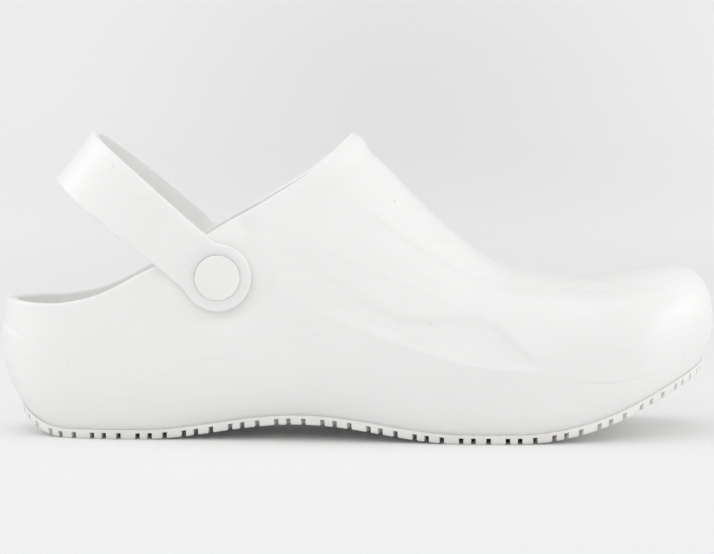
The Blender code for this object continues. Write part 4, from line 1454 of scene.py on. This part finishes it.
def upper_material(finish):
    """Satin white foam with fine drawn lines at the panel, the ridge and the mould's parting: painted shade
    darkens the panel's and the mould's creases, and a painted highlight lies along the ridge's crest.
    """
    material, nodes, shader, place = new_material(
        "white_foam", finish.foam_roughness, FOAM_COAT, FOAM_GLOW)
    colour, rough, height = foam_skin(nodes, place, finish, UPPER_SKIN)
    masks = []
    for name, line in DRAWN_LINES.items():
        distance = nodes.add("ShaderNodeAttribute", attribute_name=name).outputs["Fac"]
        clear = nodes.add("ShaderNodeAttribute", attribute_name=name + CLEAR).outputs["Fac"]
        mask = nodes.effect("line", Distance=distance, Width=line.width)["Mask"]
        masks.append((line, nodes.math("MULTIPLY", mask, clear)))
    marks = mark_masks(nodes, place, MARKS)
    # painted shade: a darker colour laid along the creases of the panel's edge and the mould's parting line
    dirt = nodes.weigh([(mask, line.dirt) for line, mask in masks if line.dirt])
    colour = nodes.mix(dirt, colour, opaque(finish.grime_and_shade_colour))
    # painted highlight: a paler colour laid along the ridge's crest
    pale = nodes.weigh([(mask, line.pale) for line, mask in masks if line.pale])
    colour = nodes.mix(pale, colour, opaque(finish.crest_highlight_colour))
    colour = nodes.stain(colour, marks, MARK_DIRT, finish.speck_colour)
    lines = [(mask, line.rise) for line, mask in masks]
    height = nodes.weigh([(height, UPPER_GRAIN)] + lines + [(marks, MARK_RISE)])
    finish_skin(nodes, shader, colour, rough, height, UPPER_SKIN)
    return material


def strap_material(finish):
    """The strap's white foam, without the upper's lines."""
    material, nodes, shader, place = new_material(
        "white_strap_foam", finish.foam_roughness, FOAM_COAT, FOAM_GLOW)
    colour, rough, height = foam_skin(nodes, place, finish, STRAP_SKIN)
    marks = mark_masks(nodes, place, STRAP_MARKS)
    colour = nodes.stain(colour, marks, STRAP_MARK_DIRT, finish.speck_colour)
    finish_skin(nodes, shader, colour, rough, height, STRAP_SKIN)
    return material


def rubber_material(finish):
    """Matte off-white rubber with floor grime in patches."""
    material, nodes, shader, place = new_material("off_white_rubber", finish.rubber_roughness, 0.0)
    colour, rough, height = grained(
        nodes, place, RUBBER_SKIN, finish.rubber_shade, finish.rubber_colour, finish.rubber_roughness)
    grime = nodes.effect("grime", Vector=place, Height=RUBBER_GRIME_HEIGHT)["Mask"]
    colour = nodes.stain(colour, grime, RUBBER_GRIME, finish.grime_and_shade_colour)
    specks = nodes.effect("specks", Vector=place, Cells=160.0, Share=0.12, Radius=0.12)["Mask"]
    colour = nodes.stain(colour, specks, SPECK_DIRT, finish.speck_colour)
    finish_skin(nodes, shader, colour, rough, height, RUBBER_SKIN)
    return material


def footbed_material(finish):
    """Matte white footbed foam with an open, pitted skin."""
    material, nodes, shader, place = new_material("footbed_foam", FOOTBED_ROUGHNESS, 0.0)
    colour, rough, height = grained(
        nodes, place, FOOTBED_SKIN, finish.footbed_shade, finish.footbed_colour, FOOTBED_ROUGHNESS)
    pits = nodes.add("ShaderNodeTexVoronoi", {"Vector": place, "Scale": FOOTBED_PITS})
    height = nodes.weigh([(pits.outputs["Distance"], 1.0), (height, 0.5)])
    finish_skin(nodes, shader, colour, rough, height, FOOTBED_SKIN)
    return material


def rivet_material(finish):
    """Smooth white rivet plastic with a fine grain and a cloudy gloss."""
    material, nodes, shader, place = new_material("rivet_plastic", finish.rivet_roughness, RIVET_COAT)
    colour, rough, height = grained(
        nodes, place, RIVET_SKIN, finish.foam_shade, finish.rivet_colour, finish.rivet_roughness)
    finish_skin(nodes, shader, colour, rough, height, RIVET_SKIN)
    return material


# The studio, in metres
FLOOR_DEPTH = (-4.0, 2.8)  # in front of and behind the shoe
FLOOR_HALF_WIDTH = 4.0
SWEEP_RADIUS = 0.9
SWEEP_STEPS = 40
SWEEP_COLUMNS = 8
WALL_TOP = 3.0
BACKDROP_BLEND = (0.3, 1.4)  # how far behind the shoe the floor's look turns into the backdrop's
# painted shade: a soft darker oval on the backdrop behind the shoe
SHADE_OVAL_SHAPE = 0.7           # the backdrop's oval: its height as a share of its width
PAPER_FLECKS = 400.0       # for each metre
PAPER_ROUGHNESS = (0.85, 0.95)
SENSOR_WIDTH = 36.0        # of the camera, in mm
VIEW_END = 20.0            # how far the camera sees


def sweep_mesh():
    """Floor and backdrop in one sheet: flat, then a quarter circle, then upright."""
    angle = np.linspace(0, math.pi / 2, SWEEP_STEPS + 1)
    back = FLOOR_DEPTH[1] + SWEEP_RADIUS * np.sin(angle)
    rise = SWEEP_RADIUS * (1 - np.cos(angle))
    y = np.concatenate([[FLOOR_DEPTH[0]], back, back[-1:]])
    z = np.concatenate([[0], rise, [WALL_TOP]])
    across = np.linspace(-FLOOR_HALF_WIDTH, FLOOR_HALF_WIDTH, SWEEP_COLUMNS + 1)[:, None]
    points = np.stack([across + 0 * y, y + 0 * across, z + 0 * across], axis=-1)
    mesh = bpy.data.meshes.new("studio_sweep")
    mesh.from_pydata(points.reshape(-1, 3).tolist(), [], grid_faces(points.shape, 0)[:, ::-1].tolist())
    mesh.shade_smooth()
    return mesh


def sweep_material(stage):
    """Pale paper with a painted shade on the backdrop, a soft darker oval behind the shoe.

    It shines a little by itself and throws back less light than it shows, as paper does that
    is whitened after the picture is taken.
    """
    material, nodes, shader, place = new_material("pale_paper", PAPER_ROUGHNESS[1], 0.0)
    parts = nodes.add("ShaderNodeSeparateXYZ", {0: place}).outputs
    across = nodes.math("DIVIDE", parts[0], stage.shade_oval_width)
    rise = nodes.math("SUBTRACT", parts[2], stage.shade_oval_height)
    rise = nodes.math("DIVIDE", rise, SHADE_OVAL_SHAPE * stage.shade_oval_width)
    away = nodes.fade(nodes.slant(across, rise), 0.0, 1.0)
    # painted shade: the backdrop's colour darkens in a soft oval behind the shoe
    backdrop = nodes.mix(away, opaque(stage.shade_oval_colour), opaque(stage.backdrop_colour))
    seen = nodes.add("ShaderNodeLightPath").outputs["Is Camera Ray"]
    floor = nodes.mix(seen, opaque(stage.bounce_colour), opaque(stage.paper_colour))
    behind = nodes.fade(parts[1], *BACKDROP_BLEND)
    colour = nodes.mix(behind, floor, backdrop)
    shine = nodes.mix(behind, opaque([stage.paper_light] * 3), opaque([stage.backdrop_light] * 3))
    shader.inputs["Emission Strength"].default_value = 1.0
    nodes.fill(shader.inputs["Emission Color"], nodes.mix(seen, opaque([0.0] * 3), shine))
    fleck = nodes.noise(place, PAPER_FLECKS, 3.0)
    nodes.fill(shader.inputs["Base Color"], colour)
    nodes.fill(shader.inputs["Roughness"], nodes.fade(fleck, 0.3, 0.7, *PAPER_ROUGHNESS))
    return material


def add_softbox(name, place, aim, size, power):
    """A rectangular softbox that faces a point."""
    lamp = bpy.data.lights.new(name, "AREA")
    lamp.shape = "RECTANGLE"
    lamp.size, lamp.size_y = size
    lamp.energy = power
    box = bpy.data.objects.new(name, lamp)
    box.location = place
    box.rotation_euler = (Vector(aim) - Vector(place)).to_track_quat("-Z", "Y").to_euler()
    bpy.context.scene.collection.objects.link(box)
    return box


class ClogShape(bpy.types.PropertyGroup):
    """Depths of the moulded relief."""

    panel_drop: FloatProperty(
        name="Panel drop", description="Share of the charted drop under the top panel's edge",
        default=1.0, min=0.0, max=2.0, subtype="FACTOR")
    flute_depth: FloatProperty(
        name="Flute depth", description="Share of the charted depth of the side's hollow",
        default=1.3, min=0.0, max=1.5, subtype="FACTOR")
    ridge_height: FloatProperty(
        name="Ridge height", description="Share of the charted height of the ridge under the hollow",
        default=1.0, min=0.0, max=2.0, subtype="FACTOR")
    wave_height: FloatProperty(
        name="Wave height", description="Share of the charted height of the heel's soft waves",
        default=1.0, min=0.0, max=2.0, subtype="FACTOR")
    ledge_height: FloatProperty(
        name="Heel ledge", description="How far the wall lies back above the heel's ledge",
        default=0.7 * MM, unit="LENGTH", precision=5)
    lip_height: FloatProperty(
        name="Peak lip", description="How far the collar's lip stands up at the peak",
        default=1.05 * MM, unit="LENGTH", precision=5)
    collar_roll: FloatProperty(
        name="Collar roll", description="How far the collar's border stands out",
        default=0.35 * MM, unit="LENGTH", precision=5)


def colour_property(name, description, default):
    """A colour that a user may change."""
    return FloatVectorProperty(name=name, description=description, default=default,
                               subtype="COLOR", size=3, min=0.0, max=1.0)


def roughness_property(name, default):
    """A roughness that a user may change."""
    return FloatProperty(name=name, description="How matte the surface is", default=default,
                         min=0.1, max=0.95, subtype="FACTOR")


class ClogFinish(bpy.types.PropertyGroup):
    """Colours and gloss of the clog's materials."""

    foam_colour: colour_property("Foam", "Moulded foam where it is palest", (0.968, 0.965, 0.948))
    foam_shade: colour_property("Foam clouds", "Moulded foam where it is dullest", (0.955, 0.952, 0.932))
    rubber_colour: colour_property("Rubber", "Outsole rubber", (0.95, 0.946, 0.926))
    rubber_shade: colour_property("Rubber clouds", "Outsole rubber where it is dullest", (0.92, 0.915, 0.89))
    footbed_colour: colour_property("Footbed", "Insole foam", (0.93, 0.93, 0.92))
    footbed_shade: colour_property("Footbed clouds", "Insole foam where it is dullest", (0.9, 0.9, 0.89))
    rivet_colour: colour_property("Rivet", "Rivet plastic", (0.968, 0.965, 0.948))
    # Crests: a painted highlight, the paler colour laid along the ridge's crest
    crest_highlight_colour: colour_property("Crests", "Foam rubbed pale on the ridge's crest", (0.985, 0.985, 0.98))
    # Grime colour: dirt near the floor and in smudges, and painted shade darkening the drawn lines' creases
    grime_and_shade_colour: colour_property("Grime", "Dirt in lines and near the floor", (0.42, 0.41, 0.38))
    speck_colour: colour_property("Specks", "Specks in the moulding", (0.3, 0.28, 0.25))
    foam_roughness: roughness_property("Foam roughness", 0.42)
    rubber_roughness: roughness_property("Rubber roughness", 0.6)
    rivet_roughness: roughness_property("Rivet roughness", 0.38)


class ClogStage(bpy.types.PropertyGroup):
    """Camera, lights and paper of the studio."""

    camera_rise: FloatProperty(
        name="Camera rise", description="How far the camera looks down", default=math.radians(4.4),
        subtype="ANGLE")
    camera_turn: FloatProperty(
        name="Camera turn", description="How far the camera stands toward the toe",
        default=math.radians(1.0), subtype="ANGLE")
    camera_distance: FloatProperty(
        name="Camera distance", description="From the camera to the point it looks at",
        default=1.45, unit="LENGTH")
    aim_height: FloatProperty(
        name="Aim height", description="Height of the point that the camera looks at",
        default=62.5 * MM, unit="LENGTH", precision=4)
    aim_shift: FloatProperty(
        name="Aim shift", description="How far that point lies ahead of the shoe's middle",
        default=-0.2 * MM, unit="LENGTH", precision=5)
    view_width: FloatProperty(
        name="View width", description="What the image's width shows at the shoe",
        default=290.95 * MM, unit="LENGTH", precision=4)
    top_power: FloatProperty(name="Top softbox", description="Power", default=0.9, unit="POWER")
    heel_power: FloatProperty(name="Heel softbox", description="Power", default=1.8, unit="POWER")
    toe_power: FloatProperty(name="Toe softbox", description="Power", default=2.0, unit="POWER")
    front_power: FloatProperty(name="Front softbox", description="Power", default=3.7, unit="POWER")
    sky: FloatProperty(name="Room light", description="Strength of the room's own light", default=0.71)
    paper_colour: colour_property("Paper", "Floor", (0.88, 0.88, 0.88))
    backdrop_colour: colour_property("Backdrop", "Backdrop at its edges", (0.945, 0.945, 0.945))
    # painted shade: the backdrop's colour in the soft darker oval behind the shoe
    shade_oval_colour: colour_property("Oval", "Backdrop behind the shoe", (0.82, 0.82, 0.82))
    bounce_colour: colour_property("Floor bounce", "What the floor throws back at the shoe", (0.8, 0.8, 0.8))
    paper_light: FloatProperty(
        name="Floor shine", description="How brightly the floor shines by itself", default=0.04,
        min=0.0, max=1.0)
    backdrop_light: FloatProperty(
        name="Backdrop shine", description="How brightly the backdrop shines by itself", default=0.17,
        min=0.0, max=1.0)
    shade_oval_width: FloatProperty(
        name="Oval width", description="Half the width of the backdrop's darker oval", default=0.5,
        unit="LENGTH")
    shade_oval_height: FloatProperty(
        name="Oval height", description="Height of that oval's middle", default=0.05, unit="LENGTH")


class CLOG_OT_upper(bpy.types.Operator):
    """Make the moulded upper's fine skin"""

    bl_idname = "clog.upper"
    bl_label = "Moulded upper"

    def execute(self, context):
        mesh = upper_mesh(context.scene.clog_shape)
        material = upper_material(context.scene.clog_finish)
        add_piece("moulded_upper_skin", mesh, material, ["moulded_upper"])
        return {"FINISHED"}


class CLOG_OT_outsole(bpy.types.Operator):
    """Make the outsole with its lugs and tread"""

    bl_idname = "clog.outsole"
    bl_label = "Outsole"

    def execute(self, context):
        loop = sole_loop()
        mesh = join_grids("outsole_tread", edge_grids(loop) + tread_grids(loop))
        material = rubber_material(context.scene.clog_finish)
        add_piece("outsole_tread", mesh, material, ["outsole"])
        return {"FINISHED"}


class CLOG_OT_insole(bpy.types.Operator):
    """Make the loose insole"""

    bl_idname = "clog.insole"
    bl_label = "Insole"

    def execute(self, context):
        material = footbed_material(context.scene.clog_finish)
        insole = add_piece("insole_pad", insole_mesh(), material, ["insole"])
        return {"FINISHED"}


class CLOG_OT_strap(bpy.types.Operator):
    """Make the heel strap"""

    bl_idname = "clog.strap"
    bl_label = "Heel strap"

    def execute(self, context):
        material = strap_material(context.scene.clog_finish)
        add_piece("heel_strap_skin", strap_mesh(), material, ["heel_strap"])
        return {"FINISHED"}


class CLOG_OT_rivets(bpy.types.Operator):
    """Make the rivets' buttons and washers"""

    bl_idname = "clog.rivets"
    bl_label = "Rivets"

    def execute(self, context):
        material = rivet_material(context.scene.clog_finish)
        for side, label in LABELS.items():
            for kind, maker in (("button", button_mesh), ("washer", washer_mesh)):
                add_piece(f"{kind}_{label}", maker(side), material, [f"rivet_{kind}_{label}"])
        return {"FINISHED"}


class CLOG_OT_stage(bpy.types.Operator):
    """Set up the paper sweep, the softboxes and the camera"""

    bl_idname = "clog.stage"
    bl_label = "Studio"

    def execute(self, context):
        stage = context.scene.clog_stage
        mesh = sweep_mesh()
        mesh.materials.append(sweep_material(stage))
        sweep = bpy.data.objects.new("studio_sweep", mesh)
        context.scene.collection.objects.link(sweep)

        aim = Vector((stage.aim_shift, 0, stage.aim_height))
        add_softbox("top_softbox", (0, 0.05, 1.15), (0, 0, 0), (0.6, 0.5), stage.top_power)
        add_softbox("heel_softbox", (-0.95, 0.1, 0.5), aim, (0.5, 0.7), stage.heel_power)
        add_softbox("toe_softbox", (0.95, 0.0, 0.25), aim, (0.7, 0.4), stage.toe_power)
        add_softbox("front_softbox", (-0.25, -1.35, 0.85), aim, (1.4, 0.8), stage.front_power)

        world = bpy.data.worlds.new("pale_room")
        world.use_nodes = True
        light = world.node_tree.nodes["Background"].inputs
        light["Color"].default_value = (1.0, 1.0, 1.0, 1.0)
        light["Strength"].default_value = stage.sky
        context.scene.world = world
        context.scene.view_settings.view_transform = "Standard"

        camera = bpy.data.cameras.new("camera")
        camera.sensor_width = SENSOR_WIDTH
        camera.lens = SENSOR_WIDTH * stage.camera_distance / stage.view_width
        camera.clip_end = VIEW_END
        viewer = bpy.data.objects.new("camera", camera)
        level = math.cos(stage.camera_rise)
        back = Vector((level * math.sin(stage.camera_turn), -level * math.cos(stage.camera_turn),
                       math.sin(stage.camera_rise)))
        viewer.location = aim + back * stage.camera_distance
        viewer.rotation_euler = (-back).to_track_quat("-Z", "Y").to_euler()
        context.scene.collection.objects.link(viewer)
        context.scene.camera = viewer
        return {"FINISHED"}


OPERATORS = (CLOG_OT_upper, CLOG_OT_outsole, CLOG_OT_insole, CLOG_OT_strap, CLOG_OT_rivets, CLOG_OT_stage)
SETTINGS = {"clog_shape": ClogShape, "clog_finish": ClogFinish, "clog_stage": ClogStage}


class CLOG_PT_sidebar(bpy.types.Panel):
    """The clog's pieces and settings"""

    bl_idname = "CLOG_PT_sidebar"
    bl_label = "Work clog"
    bl_space_type = "VIEW_3D"
    bl_region_type = "UI"
    bl_category = "Clog"

    def draw(self, context):
        for operator in OPERATORS:
            self.layout.operator(operator.bl_idname)
        for name, group in SETTINGS.items():
            settings = getattr(context.scene, name)
            column = self.layout.column()
            for prop in group.__annotations__:
                column.prop(settings, prop)


CLASSES = (*SETTINGS.values(), *OPERATORS, CLOG_PT_sidebar)


def register():
    """Register the classes and put the settings on the scene."""
    for item in CLASSES:
        bpy.utils.register_class(item)
    for name, group in SETTINGS.items():
        setattr(bpy.types.Scene, name, PointerProperty(type=group))


def unregister():
    """Take the settings off the scene and unregister the classes."""
    for name in SETTINGS:
        delattr(bpy.types.Scene, name)
    for item in reversed(CLASSES):
        bpy.utils.unregister_class(item)


def main():
    register()
    bpy.ops.clog.upper()
    bpy.ops.clog.outsole()
    bpy.ops.clog.insole()
    bpy.ops.clog.strap()
    bpy.ops.clog.rivets()
    bpy.ops.clog.stage()


if __name__ == "__main__":
    main()
